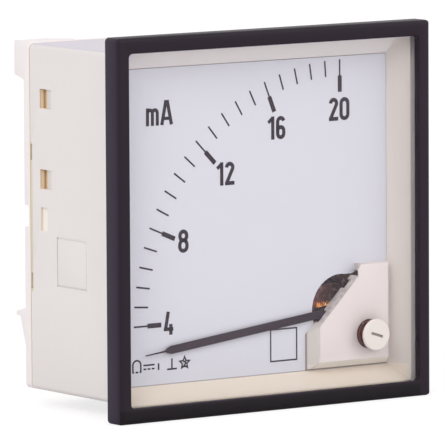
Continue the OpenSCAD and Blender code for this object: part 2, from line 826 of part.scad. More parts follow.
module zero_screw_clip() {
    color([0.6, 0.6, 0.6]) translate([zero_x, 0, zero_z]) difference() {
        bar(zero_head_r - 0.5, flange_y + zero_gap, flange_y + zero_gap + clip_t);
        bar(zero_shank_r, flange_y - cut_over, flange_y + clip_t + cut_over);
    }
}

// Lever on the front jewel screw; its fork holds the zero screw's eccentric pin
module zero_lever() {
    slot = zero_pin_r + fork_gap;
    color([0.75, 0.7, 0.5]) at_pivot() {
        difference() {
            union() {
                slab(lever_y, lever_y + lever_t) union() {
                    circle(r = jewel_r + lever_arm_w * 0.7);
                    rotate(arm_angle) translate([0, -lever_arm_w / 2])
                        square([arm_len - fork_back, lever_arm_w]);
                    rotate(arm_angle) translate([arm_len - fork_back - fork_side / 2, -slot - fork_side])
                        square([fork_back + fork_front + fork_side / 2, 2 * (slot + fork_side)]);
                    rotate(strap_angle + 180) translate([0, -tag_w / 2]) square([anchor_at + 0.2, tag_w]);
                }
                swing(strap_angle + 180) translate([anchor_at, 0, 0])
                    bar(anchor_r, lever_y + lever_t / 2, front_spring_y + spring_t);
            }
            bar(jewel_r + running_gap, lever_y - cut_over, lever_y + lever_t + cut_over);
            slab(lever_y - cut_over, lever_y + lever_t + cut_over) rotate(arm_angle)
                translate([arm_len - fork_back + fork_side / 2, -slot])
                    square([fork_back + fork_front + cut_over, 2 * slot]);
        }
    }
}

module front_bridge() {
    color([0.78, 0.68, 0.42]) at_pivot() difference() {
        union() {
            slab(strap_y, strap_y + strap_t) union() {
                rotate(strap_angle) translate([-post_at, -strap_w / 2]) square([2 * post_at, strap_w]);
                circle(r = jewel_r + strap_hub_w);
                for (s = [0, 180]) rotate(strap_angle + s) translate([post_at, 0]) circle(r = post_r);
            }
            for (s = [0, 180]) swing(strap_angle + s) translate([post_at, 0, 0])
                bar(post_r, strap_y + strap_t / 2, yoke_front);
        }
        bar(jewel_r, strap_y - cut_over, strap_y + strap_t + cut_over);
        for (s = [0, 180]) swing(strap_angle + s) translate([post_at, 0, 0])
            bar(screw_r + screw_gap, strap_y - cut_over, yoke_front + cut_over);
    }
}

module bridge_screws() {
    color([0.72, 0.72, 0.72]) at_pivot() for (s = [0, 180])
        swing(strap_angle + s) translate([post_at, 0, 0])
            small_screw(screw_head_r, screw_head_t, screw_r, strap_y, bridge_screw_len);
}

// A headless jewel screw with a slot at one end and a cup for the pivot at the other
module jewel_screw(slot_y, cup_y) {
    front = slot_y < cup_y;
    lo = min(slot_y, cup_y);
    hi = max(slot_y, cup_y);
    difference() {
        bar(jewel_r - 0.01, lo, hi);
        translate([0, cup_y, 0]) rotate([front ? 90 : -90, 0, 0])
            translate([0, 0, -0.05]) cylinder(h = cup_len + 0.05, r1 = cup_r + 0.03, r2 = 0.02);
        translate([-jewel_r - cut_over, front ? lo - cut_over : hi - 0.5, -0.2])
            cube([2 * (jewel_r + cut_over), cut_over + 0.5, 0.4]);
    }
}

module front_jewel_screw() {
    color([0.8, 0.7, 0.4]) at_pivot() jewel_screw(strap_y - 1.05, jewel_end_y);
}

module rear_jewel_screw() {
    color([0.8, 0.7, 0.4]) at_pivot() jewel_screw(floor_y + nut_t + 1.2, rear_jewel_y);
}

module front_lock_nut() {
    thin = 0.7;
    color([0.8, 0.7, 0.4]) at_pivot() difference() {
        hex_bar(nut_r - 0.2, strap_y - thin, strap_y);
        bar(jewel_r, strap_y - thin - cut_over, strap_y + cut_over);
    }
}

module rear_lock_nut() {
    color([0.8, 0.7, 0.4]) at_pivot() difference() {
        hex_bar(nut_r, floor_y, floor_y + nut_t);
        bar(jewel_r, floor_y - cut_over, floor_y + nut_t + cut_over);
    }
}

module yoke_ring() {
    color([0.3, 0.27, 0.26]) at_pivot() difference() {
        bar(yoke_r, yoke_front, yoke_back);
        bar(yoke_bore_r, yoke_front - cut_over, yoke_back + cut_over);
        for (s = [0, 180]) swing(strap_angle + s) translate([post_at, 0, 0])
            bar(screw_r + screw_gap, yoke_front - cut_over, strap_y + bridge_screw_len + 0.5);
        for (a = stop_angles) swing(a) translate([stop_at, 0, 0])
            bar(stop_r, yoke_front - cut_over, yoke_front + stop_sink + 0.1);
    }
}
stop_turn = (tail_w / 2 + stop_r + 0.1) / stop_at * 180 / PI;
stop_angles = [rest_angle + stop_turn, rest_angle - travel - stop_turn];

module core_magnet() {
    color([0.45, 0.43, 0.42]) at_pivot() bar(core_r, core_front, core_back);
}

// Non-magnetic wedges that hold the core in the ring, clear of the coil's travel
module core_wedges() {
    middle = 180 + rest_angle - coil_lead + (180 - travel) / 2;
    half = 12;
    color([0.6, 0.55, 0.4]) at_pivot() slab(yoke_front + 0.5, yoke_back - 0.5)
        for (s = [0, 180]) rotate(middle + s) polygon(concat(
            [for (i = [-4 : 4]) (yoke_bore_r - 0.02) * [cos(half * i / 4), sin(half * i / 4)]],
            [for (i = [4 : -1 : -4]) (core_r + 0.06) * [cos(half * i / 4), sin(half * i / 4)]]
        ));
}

module stop_pins() {
    color([0.75, 0.7, 0.55]) at_pivot() for (a = stop_angles) swing(a)
        translate([stop_at, 0, 0]) bar(stop_r - 0.01, hub_y - 0.4, yoke_front + stop_sink);

}

module movement_base() {
    color([0.7, 0.69, 0.66]) at_pivot() difference() {
        union() {
            slab(base_y, floor_y) polygon(rounded(base_size, base_size, 2));
            for (a = [90, 210, 330]) swing(a) translate([pillar_at, 0, 0])
                bar(pillar_r, yoke_back, base_y + 0.5);
        }
        bar(jewel_r, base_y - cut_over, floor_y + cut_over);
        for (x = [-1, 1]) for (z = [-1, 1]) translate([x * base_screw_at, 0, z * base_screw_at])
            bar(base_screw_r + 0.15, base_y - cut_over, floor_y + cut_over);
        swing(strap_angle) translate([anchor_at, 0, 0])
            bar(anchor_r + 0.25, base_y - cut_over, base_y + 1.2);
    }
}

module movement_screws() {
    color([0.75, 0.75, 0.74]) at_pivot() for (x = [-1, 1]) for (z = [-1, 1])
        translate([x * base_screw_at, 0, z * base_screw_at])
            small_screw(base_head_r, base_head_t, base_screw_r - 0.01, base_y, base_t + floor_t + 1);
}

// Pin that holds the outer end of the rear spring, in an insulating bush
module spring_tag() {
    color([0.8, 0.65, 0.4]) at_pivot() swing(strap_angle) translate([anchor_at, 0, 0]) {
        bar(anchor_r, rear_spring_y, base_y + 1.1);
        bar(anchor_r + 0.24, base_y + 0.1, base_y + 1.1);
    }
}

module circuit_board() {
    color([0.15, 0.35, 0.22]) difference() {
        slab(board_y, board_y + board_t) translate([-board_w / 2, board_z - board_h / 2])
            square([board_w, board_h]);
        for (x = [-1, 1]) translate([x * stud_spacing / 2, 0, stud_z])
            bar(stud_r + stud_gap, board_y - cut_over, board_y + board_t + cut_over);
    }
}

// Wire-wound resistors standing just off the board on bent leads
module resistors() {
    y = board_y - resistor_r - 0.3;
    color([0.75, 0.68, 0.55]) for (z = resistor_z) translate([0, 0, z]) {
        translate([-resistor_len / 2, y, 0]) rotate([0, 90, 0])
            cylinder(h = resistor_len, r = resistor_r);
        for (s = [-1, 1]) {
            translate([s > 0 ? resistor_len / 2 - 0.5 : -resistor_len / 2 - 2, y, 0]) rotate([0, 90, 0])
                cylinder(h = 2.5, r = lead_r);
            translate([s * (resistor_len / 2 + 2), 0, 0]) {
                translate([0, y, 0]) sphere(r = lead_r);
                bar(lead_r, y, board_y);
            }
        }
    }
}

// Two wires from the movement through the floor to the circuit board
module lead_wires() {
    x0 = wire_hole[0] + wire_hole[2] / 2;
    y0 = base_y - wire_r - 0.05;
    color([0.7, 0.25, 0.2]) for (i = [1, 2]) translate([x0, y0, wire_hole[1] + wire_apart * i]) {
        rotate([0, 90, 0]) cylinder(h = wire_tail, r = wire_r);
        sphere(r = wire_r + 0.05);
        bar(wire_r, 0, board_y - y0 - 0.05);
    }
}
wire_tail = 6;

// One piece placed on both terminals
module at_terminals() {
    for (x = [-1, 1]) translate([x * stud_spacing / 2, 0, stud_z]) children();
}
pad_y = back_y + pad_t;
nut_y = pad_y + washer_t;
wire_washer_y = nut_y + hex_nut_t;
wire_nut_y = wire_washer_y + washer_t;

module terminal_studs() {
    color([0.83, 0.7, 0.38]) at_terminals() {
        end = back_y + stud_out;
        hex_bar(hex_r, board_y - head_t, board_y);
        bar(stud_r, board_y - 0.5, end - stud_end_len);
        bar(neck_r, end - stud_end_len - 0.2, end - stud_end_len + neck_len + 0.2);
        bar(stud_r, end - stud_end_len + neck_len, end - stud_tip);
        bar(stud_r - stud_tip, end - stud_tip - 0.1, end);
    }
}

// A washer or a nut round a stud
module stud_washer(y) {
    difference() {
        bar(washer_r, y, y + washer_t);
        bar(stud_r + stud_gap, y - cut_over, y + washer_t + cut_over);
    }
}
module stud_nut(y) {
    difference() {
        hex_bar(hex_r, y, y + hex_nut_t);
        bar(stud_r + 0.02, y - cut_over, y + hex_nut_t + cut_over);
    }
}

module stud_washers() { color([0.78, 0.78, 0.78]) at_terminals() stud_washer(pad_y); }
module stud_nuts() { color([0.83, 0.7, 0.38]) at_terminals() stud_nut(nut_y); }
module wire_washers() { color([0.78, 0.78, 0.78]) at_terminals() stud_washer(wire_washer_y); }
module wire_nuts() { color([0.83, 0.7, 0.38]) at_terminals() stud_nut(wire_nut_y); }

front_bezel();
window();
case_shell();
rear_cover();
corner_cover();
dial_plate();
scale_marks();
dial_screws();
pointer();
balance_weight();
coil_former();
coil_winding();
front_pivot();
rear_pivot();
front_hairspring();
rear_hairspring();
zero_screw();
zero_screw_clip();
zero_lever();
front_bridge();
bridge_screws();
front_jewel_screw();
front_lock_nut();
rear_jewel_screw();
rear_lock_nut();
yoke_ring();
core_magnet();
core_wedges();
stop_pins();
movement_base();
movement_screws();
spring_tag();
circuit_board();
resistors();
lead_wires();
terminal_studs();
stud_washers();
stud_nuts();
wire_washers();
wire_nuts();
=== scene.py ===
"""Dresses the panel meter: finishes, dial printing, threads, light and camera.

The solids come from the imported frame. Each sub-assembly is a class that holds its
own sizes, builds its pieces from numpy surfaces and dresses them. Lengths in the
classes are in millimetres, apart from the studio's, which are in metres like every
stored mesh.
"""
from __future__ import annotations

import logging
import math
from dataclasses import dataclass, field
from enum import Enum
from typing import Any, Sequence

import bmesh
import bpy
import numpy as np
from mathutils import Matrix, Vector


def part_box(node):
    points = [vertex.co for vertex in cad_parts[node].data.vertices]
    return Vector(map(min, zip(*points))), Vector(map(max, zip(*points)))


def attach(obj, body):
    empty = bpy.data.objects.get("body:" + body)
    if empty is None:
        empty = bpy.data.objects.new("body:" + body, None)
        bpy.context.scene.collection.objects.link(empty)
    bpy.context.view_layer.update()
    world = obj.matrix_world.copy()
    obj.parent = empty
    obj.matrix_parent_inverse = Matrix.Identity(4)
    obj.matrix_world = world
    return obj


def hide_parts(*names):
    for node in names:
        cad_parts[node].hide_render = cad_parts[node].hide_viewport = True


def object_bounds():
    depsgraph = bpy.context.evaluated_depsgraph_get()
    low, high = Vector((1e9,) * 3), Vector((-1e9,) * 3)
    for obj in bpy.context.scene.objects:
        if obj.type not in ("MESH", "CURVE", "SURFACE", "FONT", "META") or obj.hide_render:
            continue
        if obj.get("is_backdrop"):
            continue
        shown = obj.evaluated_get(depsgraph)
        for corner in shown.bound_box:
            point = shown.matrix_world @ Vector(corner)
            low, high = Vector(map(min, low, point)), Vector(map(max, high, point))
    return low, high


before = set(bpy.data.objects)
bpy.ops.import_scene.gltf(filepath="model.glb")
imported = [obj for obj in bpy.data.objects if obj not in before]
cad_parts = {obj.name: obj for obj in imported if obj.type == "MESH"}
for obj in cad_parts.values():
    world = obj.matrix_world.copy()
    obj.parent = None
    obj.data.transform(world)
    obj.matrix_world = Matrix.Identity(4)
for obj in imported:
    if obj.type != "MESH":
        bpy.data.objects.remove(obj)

LOG = logging.getLogger("panel_meter")
MM = 0.001
Array = np.ndarray
Socket = bpy.types.NodeSocket


# ---------------------------------------------------------------- colour

def srgb(red: float, green: float, blue: float) -> tuple[float, float, float, float]:
    """Turns a screen colour into the linear colour that shaders use.

    Args:
        red: Red from 0 to 255.
        green: Green from 0 to 255.
        blue: Blue from 0 to 255.

    Returns:
        The linear colour with an alpha of one.
    """
    value = np.array([red, green, blue], dtype=float) / 255.0
    low = value / 12.92
    high = ((value + 0.055) / 1.055) ** 2.4
    linear = np.where(value <= 0.04045, low, high)
    return (float(linear[0]), float(linear[1]), float(linear[2]), 1.0)


def shade(colour: Sequence[float], factor: float) -> tuple[float, float, float, float]:
    """Multiplies a linear colour by a factor and keeps its alpha.

    Args:
        colour: The linear colour.
        factor: The factor for red, green and blue.

    Returns:
        The darker or lighter colour.
    """
    return (colour[0] * factor, colour[1] * factor, colour[2] * factor, 1.0)


# ---------------------------------------------------------------- shaders

class Field:
    """A number that varies over a surface, written as a Python expression."""

    def __init__(self, recipe: "Recipe", socket: Socket) -> None:
        """Keeps the socket and the recipe that owns its nodes."""
        self.recipe = recipe
        self.socket = socket

    def _math(self, operation: str, first: Any, second: Any) -> "Field":
        """Adds one Math node.

        Args:
            operation: The Math node's operation.
            first: The first value, a Field or a number.
            second: The second value, a Field or a number.

        Returns:
            The node's result.
        """
        made = self.recipe.node("ShaderNodeMath", {"operation": operation}, {0: first, 1: second})
        return Field(self.recipe, made.outputs[0])

    def __add__(self, other: Any) -> "Field":
        """Adds a number or a field."""
        return self._math("ADD", self, other)

    def __radd__(self, other: Any) -> "Field":
        """Adds to a number."""
        return self._math("ADD", other, self)

    def __sub__(self, other: Any) -> "Field":
        """Takes a number or a field away."""
        return self._math("SUBTRACT", self, other)

    def __rsub__(self, other: Any) -> "Field":
        """Takes the field from a number."""
        return self._math("SUBTRACT", other, self)

    def __mul__(self, other: Any) -> "Field":
        """Multiplies by a number or a field."""
        return self._math("MULTIPLY", self, other)

    def __rmul__(self, other: Any) -> "Field":
        """Multiplies a number by the field."""
        return self._math("MULTIPLY", other, self)

    def __truediv__(self, other: Any) -> "Field":
        """Divides by a number or a field."""
        return self._math("DIVIDE", self, other)

    def size(self) -> "Field":
        """Gives the field without its sign."""
        return self._math("ABSOLUTE", self, 0.0)

    def least(self, other: Any) -> "Field":
        """Gives the smaller of the field and another value."""
        return self._math("MINIMUM", self, other)

    def most(self, other: Any) -> "Field":
        """Gives the larger of the field and another value."""
        return self._math("MAXIMUM", self, other)

    def sine(self) -> "Field":
        """Gives the sine of the field, in radians."""
        made = self.recipe.node("ShaderNodeMath", {"operation": "SINE"}, {0: self})
        return Field(self.recipe, made.outputs[0])


class Recipe:
    """One material's node tree, filled by a finish."""

    def __init__(self, name: str) -> None:
        """Starts an empty material with an output and a Principled shader.

        Args:
            name: The material's name.
        """
        self.material = bpy.data.materials.new(name)
        self.material.use_nodes = True
        self.tree = self.material.node_tree
        self.tree.nodes.clear()
        self.shader = self.node("ShaderNodeBsdfPrincipled")
        self.output = self.node("ShaderNodeOutputMaterial")
        self.tree.links.new(self.shader.outputs["BSDF"], self.output.inputs["Surface"])

    def node(
        self,
        kind: str,
        settings: dict[str, Any] | None = None,
        sockets: dict[Any, Any] | None = None,
    ) -> bpy.types.Node:
        """Adds a node of any kind, sets it and fills its sockets.

        Args:
            kind: The node's type name.
            settings: The node's own properties.
            sockets: Input name or index to a value, a socket or a Field.

        Returns:
            The new node.
        """
        made = self.tree.nodes.new(kind)
        for key, value in (settings or {}).items():
            setattr(made, key, value)
        for key, value in (sockets or {}).items():
            self.put(made.inputs[key], value)
        return made

    def put(self, socket: Socket, value: Any) -> None:
        """Links a Field or a socket, or sets a plain value.

        Args:
            socket: The input socket.
            value: What it gets.
        """
        if isinstance(value, Field):
            self.tree.links.new(value.socket, socket)
        elif isinstance(value, bpy.types.NodeSocket):
            self.tree.links.new(value, socket)
        else:
            socket.default_value = value

    def place(
        self,
        turn: Sequence[float] = (0.0, 0.0, 0.0),
        centre: Sequence[float] = (0.0, 0.0, 0.0),
    ) -> Socket:
        """Gives Object coordinates, moved to a centre and turned.

        Args:
            turn: Euler angles in radians.
            centre: The point, in metres, that becomes the pattern's centre.

        Returns:
            The vector socket.
        """
        coords = self.node("ShaderNodeTexCoord").outputs["Object"]
        moved = self.node(
            "ShaderNodeVectorMath", {"operation": "SUBTRACT"}, {0: coords, 1: tuple(centre)}
        )
        turned = self.node(
            "ShaderNodeMapping",
            {"vector_type": "POINT"},
            {"Vector": moved.outputs[0], "Rotation": tuple(turn)},
        )
        return turned.outputs[0]

    def axis(self, vector: Socket, index: int) -> Field:
        """Gives one coordinate of a vector as a Field."""
        parts = self.node("ShaderNodeSeparateXYZ", None, {0: vector})
        return Field(self, parts.outputs[index])

    def noise(self, size_mm: float, detail: float = 2.0, vector: Socket | None = None,
              stretch: Sequence[float] | None = None) -> Field:
        """Adds a noise whose features are about a given size.

        Args:
            size_mm: The size of a feature in millimetres.
            detail: The noise's detail.
            vector: The coordinates, or None for Object coordinates.
            stretch: Factors that squeeze the pattern along X, Y and Z.

        Returns:
            The noise from zero to one.
        """
        base = vector if vector is not None else self.place()
        if stretch is not None:
            base = self.node(
                "ShaderNodeVectorMath", {"operation": "MULTIPLY"}, {0: base, 1: tuple(stretch)}
            ).outputs[0]
        made = self.node(
            "ShaderNodeTexNoise", {"noise_dimensions": "3D"},
            {"Vector": base, "Scale": 1.0 / (size_mm * MM), "Detail": detail, "Roughness": 0.55},
        )
        return Field(self, made.outputs["Fac"])

    def blend(self, factor: Any, first: Any, second: Any) -> Socket:
        """Mixes two colours.

        Args:
            factor: From zero for the first to one for the second.
            first: A colour or a colour socket.
            second: A colour or a colour socket.

        Returns:
            The mixed colour's socket.
        """
        made = self.node("ShaderNodeMix", {"data_type": "RGBA", "clamp_factor": True})
        self.put(made.inputs[0], factor)
        self.put(made.inputs[6], first)
        self.put(made.inputs[7], second)
        return made.outputs[2]

    def inside(
        self, low: Sequence[float], high: Sequence[float], soft: float, both_sides: bool
    ) -> Field:
        """Gives one inside a box and zero outside it, with soft edges.

        On each axis the value is the distance to the nearer face over the softness,
        plus a half, held between zero and one; the box is the least of the three.

        Args:
            low: The box's lowest corner in millimetres.
            high: The box's highest corner in millimetres.
            soft: The width of the soft edge in millimetres.
            both_sides: Whether the box is mirrored from +X to -X.

        Returns:
            The mask.
        """
        where = self.place()
        mask: Field | None = None
        for index in range(3):
            along = self.axis(where, index)
            if index == 0 and both_sides:
                along = along.size()
            middle = (low[index] + high[index]) / 2 * MM
            half = (high[index] - low[index]) / 2 * MM
            edge = (half - (along - middle).size()) / (soft * MM) + 0.5
            held = edge.most(0.0).least(1.0)
            mask = held if mask is None else mask.least(held)
        return mask

    def relief(self, height: Field, strength: float, depth_mm: float) -> None:
        """Feeds a Bump node into the shader's Normal.

        Args:
            height: The height field, from zero to one.
            strength: The Bump node's strength.
            depth_mm: The height of one unit of the field in millimetres.
        """
        made = self.node(
            "ShaderNodeBump", None,
            {"Strength": strength, "Distance": depth_mm * MM, "Height": height},
        )
        self.put(self.shader.inputs["Normal"], made.outputs["Normal"])

    def set(self, **values: Any) -> None:
        """Sets the shader's own sockets; an underscore in a name stands for a space."""
        for name, value in values.items():
            self.put(self.shader.inputs[name.replace("_", " ")], value)


# ---------------------------------------------------------------- finishes

@dataclass(frozen=True)
class Tint:
    """A soft-edged box in which a surface has another tone, with flecks if it has any; most tints
    here are painted light and shade.
    """

    low: tuple[float, float, float]
    high: tuple[float, float, float]
    colour: tuple[float, float, float, float]
    soft: float = 0.3
    strength: float = 1.0
    both_sides: bool = False
    fleck: tuple[float, float, float, float] | None = None
    fleck_mm: float = 0.8
    fleck_above: float = 0.45

    def over(self, made: Recipe, tone: Any) -> Socket:
        """Lays the tint over a colour.

        Args:
            made: The recipe that owns the nodes.
            tone: The colour under the tint.

        Returns:
            The colour with the tint on it.
        """
        top: Any = self.colour
        if self.fleck is not None:
            spots = (made.noise(self.fleck_mm, 2.0) - self.fleck_above) * 9.0
            top = made.blend(spots.most(0.0).least(1.0), self.colour, self.fleck)
        return made.blend(self.inside_mask(made) * self.strength, tone, top)

    def inside_mask(self, made: Recipe) -> Field:
        """Gives the tint's mask."""
        return made.inside(self.low, self.high, self.soft, self.both_sides)


@dataclass(frozen=True)
class MouldedPlastic:
    """A moulded plastic with a fine spark-eroded grain and slight colour drift."""

    name: str
    colour: tuple[float, float, float, float]
    roughness: float = 0.5
    grain_mm: float = 0.18
    grain_depth_mm: float = 0.012
    drift: float = 0.05
    specular: float = 0.4
    tints: tuple[Tint, ...] = ()
    shine: tuple[float, float, float, float] = (1.0, 1.0, 1.0, 1.0)

    def build(self) -> bpy.types.Material:
        """Builds the material and returns it."""
        made = Recipe(self.name)
        made.set(Specular_Tint=self.shine)
        cloud = made.noise(38.0, 3.0)
        fleck = made.noise(1.7, 2.0)
        pale, dark = shade(self.colour, 1.0 + self.drift), shade(self.colour, 1.0 - self.drift)
        tone = made.blend(cloud, dark, pale)
        tone = made.blend((fleck - 0.35) * 0.18, tone, shade(self.colour, 0.9))
        # lays the tints over the tone: mostly painted light and shade, and a few seam tones
        for tint in self.tints:
            tone = tint.over(made, tone)
        made.set(Base_Color=tone, IOR=1.5, Specular_IOR_Level=self.specular)
        made.set(Roughness=self.roughness - 0.04 + 0.1 * cloud)
        grain = made.noise(self.grain_mm, 1.5)
        made.relief(grain + 0.6 * fleck, 0.35, self.grain_depth_mm)
        return made.material


@dataclass(frozen=True)
class MattPaint:
    """A thin even coat of matt paint or ink with a trace of orange peel."""

    name: str
    colour: tuple[float, float, float, float]
    roughness: float = 0.6
    peel_mm: float = 0.9
    peel_depth_mm: float = 0.003
    drift: float = 0.02
    specular: float = 0.35

    def build(self) -> bpy.types.Material:
        """Builds the material and returns it."""
        made = Recipe(self.name)
        cloud = made.noise(24.0, 2.0)
        speck = made.noise(0.35, 1.0)
        pale, dark = shade(self.colour, 1.0 + self.drift), shade(self.colour, 1.0 - self.drift)
        tone = made.blend(cloud, dark, pale)
        tone = made.blend((speck - 0.55) * 0.3, tone, shade(self.colour, 0.88))
        made.set(Base_Color=tone, IOR=1.5, Specular_IOR_Level=self.specular)
        made.set(Roughness=self.roughness - 0.05 + 0.1 * speck)
        made.relief(made.noise(self.peel_mm, 2.0), 0.3, self.peel_depth_mm)
        return made.material


class Lay(Enum):
    """How a metal's fine marks run."""

    TURNED = "turned"
    ROLLED = "rolled"
    CAST = "cast"


@dataclass(frozen=True)
class Metal:
    """A metal with turned rings, rolled streaks or a cast skin, light tarnish, and a painted glint
    that glows as emission where one is given.
    """

    name: str
    colour: tuple[float, float, float, float]
    roughness: float = 0.32
    lay: Lay = Lay.TURNED
    tarnish: float = 0.25
    centre_mm: tuple[float, float, float] = (0.0, 0.0, 0.0)
    metallic: float = 1.0
    glint: Tint | None = None
    fleck_above: float | None = None

    def build(self) -> bpy.types.Material:
        """Builds the material and returns it."""
        made = Recipe(self.name)
        centre = tuple(value * MM for value in self.centre_mm)
        where = made.place((0.0, 0.0, 0.0), centre)
        patch = made.noise(2.6, 4.0)
        dull = shade(self.colour, 0.55)
        tone = made.blend((patch - 0.3) * (2.0 * self.tarnish), self.colour, dull)
        if self.fleck_above is not None:
            spots = ((made.noise(1.5, 2.0) - self.fleck_above) * 8.0).most(0.0).least(0.85)
            tone = made.blend(spots, tone, srgb(236, 220, 206))
            made.set(Metallic=self.metallic * (1.0 - spots))
        else:
            made.set(Metallic=self.metallic)
        made.set(Base_Color=tone)
        if self.lay is Lay.TURNED:
            marks = made.noise(0.3, 2.0, where, (1.0, 0.12, 1.0))
        elif self.lay is Lay.ROLLED:
            marks = made.noise(0.25, 2.0, where, (0.06, 1.0, 1.0))
        else:
            marks = made.noise(0.5, 3.0, where)
        made.set(Roughness=self.roughness - 0.06 + 0.2 * patch)
        made.relief(marks, 0.3, 0.01)
        # painted glint: stripes across the spring's turns glow as emission inside the glint's box
        if self.glint is not None:
            turns = (made.axis(where, 0) * (2.0 * math.pi / (0.5 * MM))).sine() * 0.4 + 0.6
            lit = self.glint.inside_mask(made) * turns
            gleam = made.blend(lit, (0.0, 0.0, 0.0, 1.0), self.glint.colour)
            made.set(Emission_Color=gleam, Emission_Strength=self.glint.strength)
        return made.material


@dataclass(frozen=True)
class WoundWire:
    """Enamelled wire lying side by side, seen as fine ridges across the coil."""

    name: str
    colour: tuple[float, float, float, float]
    wire_mm: float = 0.16
    turn_deg: float = 0.0

    def build(self) -> bpy.types.Material:
        """Builds the material and returns it; ridges follow sin of the place across the coil."""
        made = Recipe(self.name)
        where = made.place((0.0, math.radians(self.turn_deg), 0.0))
        ridge = (made.axis(where, 2) * (2.0 * math.pi / (self.wire_mm * MM))).sine() * 0.5 + 0.5
        patch = made.noise(1.1, 2.0)
        # painted shade: the grooves between the wires are darkened to a quarter of the copper's
        # colour
        tone = made.blend(ridge, shade(self.colour, 0.25), self.colour)
        tone = made.blend((patch - 0.4) * 0.8, tone, shade(self.colour, 0.5))
        made.set(Base_Color=tone, Metallic=0.85)
        made.set(Roughness=0.26 + 0.15 * patch, Coat_IOR=1.5)
        made.set(Coat_Weight=0.6 * ridge, Coat_Roughness=0.12)
        made.relief(ridge, 0.6, 0.05)
        return made.material


@dataclass(frozen=True)
class ClearPane:
    """A clear polished pane: mostly see-through, with a thin gloss."""

    name: str
    film: float = 0.07
    colour: tuple[float, float, float, float] = (0.85, 0.87, 0.92, 1.0)

    def build(self) -> bpy.types.Material:
        """Builds the material and returns it; its alpha drifts slightly with a wide noise."""
        made = Recipe(self.name)
        wave = made.noise(30.0, 1.0)
        made.set(Base_Color=self.colour, Roughness=0.05 + 0.03 * wave, IOR=1.49)
        made.set(Alpha=self.film - 0.015 + 0.03 * wave, Specular_IOR_Level=0.5)
        made.material.surface_render_method = "BLENDED"
        return made.material


@dataclass(frozen=True)
class BoardLaminate:
    """A green-masked glass-fibre board with its weave showing faintly."""

    name: str
    colour: tuple[float, float, float, float]
    weave_mm: float = 0.5

    def build(self) -> bpy.types.Material:
        """Builds the material and returns it; the weave is a product of two sines."""
        made = Recipe(self.name)
        where = made.place()
        step = 2.0 * math.pi / (self.weave_mm * MM)
        across, along = (made.axis(where, 0) * step).sine(), (made.axis(where, 2) * step).sine()
        weave = across * along * 0.5 + 0.5
        cloud = made.noise(9.0, 3.0)
        tone = made.blend(weave * 0.35 + cloud * 0.4, self.colour, shade(self.colour, 1.6))
        made.set(Base_Color=tone, Roughness=0.3 + 0.15 * cloud)
        made.set(Coat_Weight=0.3 * cloud, Coat_Roughness=0.2)
        made.relief(weave, 0.3, 0.01)
        return made.material


# ---------------------------------------------------------------- meshes

def make_piece(
    name: str, points: Array, faces: Sequence[Sequence[int]], body: str
) -> bpy.types.Object:
    """Makes one piece from points in millimetres and lets it ride on a body.

    Args:
        name: The piece's name.
        points: An array of points, one per row.
        faces: Lists of point numbers.
        body: The body it rides on.

    Returns:
        The new object.
    """
    mesh = bpy.data.meshes.new(name)
    places = (np.asarray(points, dtype=float) * MM).tolist()
    mesh.from_pydata(places, [], [list(face) for face in faces])
    mesh.validate()
    mesh.update()
    made = bpy.data.objects.new(name, mesh)
    bpy.context.scene.collection.objects.link(made)
    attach(made, body)
    return made


def grid_faces(rows: int, columns: int, loop_rows: bool, loop_columns: bool) -> Array:
    """Gives the quads of a grid of points numbered row by row.

    Args:
        rows: The number of rows.
        columns: The number of columns.
        loop_rows: Whether the last row joins the first.
        loop_columns: Whether the last column joins the first.

    Returns:
        An array of quads.
    """
    row = np.arange(rows if loop_rows else rows - 1)[:, None]
    column = np.arange(columns if loop_columns else columns - 1)[None, :]
    next_row = (row + 1) % rows
    next_column = (column + 1) % columns
    quads = np.stack([
        row * columns + column, row * columns + next_column,
        next_row * columns + next_column, next_row * columns + column,
    ], axis=-1)
    return quads.reshape(-1, 4)


def flat_stroke(path: Array, width: float, closed: bool) -> tuple[Array, Array]:
    """Gives the two edges of a stroke of even width along a path.

    At each point the edge stands off by half the width along the mitre, which is the
    sum of the two neighbouring normals over one plus their dot product.

    Args:
        path: Points of the middle line, one (x, z) per row.
        width: The stroke's width.
        closed: Whether the path joins itself.

    Returns:
        The left and the right edge, each with as many points as the path.
    """
    step = np.roll(path, -1, axis=0) - path
    if not closed:
        step[-1] = step[-2]
    step = step / np.linalg.norm(step, axis=1, keepdims=True)
    normal = np.stack([-step[:, 1], step[:, 0]], axis=1)
    before = np.roll(normal, 1, axis=0)
    if not closed:
        before[0] = normal[0]
    total = normal + before
    mitre = total / (1.0 + np.sum(normal * before, axis=1, keepdims=True)).clip(0.25)
    return path + mitre * width / 2, path - mitre * width / 2


def arc(
    cx: float, cz: float, rx: float, rz: float, start: float, end: float, count: int = 13
) -> Array:
    """Gives points of an elliptic arc, centre plus radius times cosine and sine.

    Args:
        cx: The centre's X.
        cz: The centre's Z.
        rx: The radius along X.
        rz: The radius along Z.
        start: The first angle in degrees.
        end: The last angle in degrees.
        count: How many points.

    Returns:
        The points, one (x, z) per row.
    """
    angle = np.radians(np.linspace(start, end, count))
    return np.stack([cx + rx * np.cos(angle), cz + rz * np.sin(angle)], axis=1)


def line(*points: tuple[float, float]) -> Array:
    """Gives a straight path through points."""
    return np.array(points, dtype=float)


@dataclass
class Stroke:
    """One stroke of a printed sign, in units of the sign's height."""

    path: Array
    closed: bool = False
    width: float | None = None


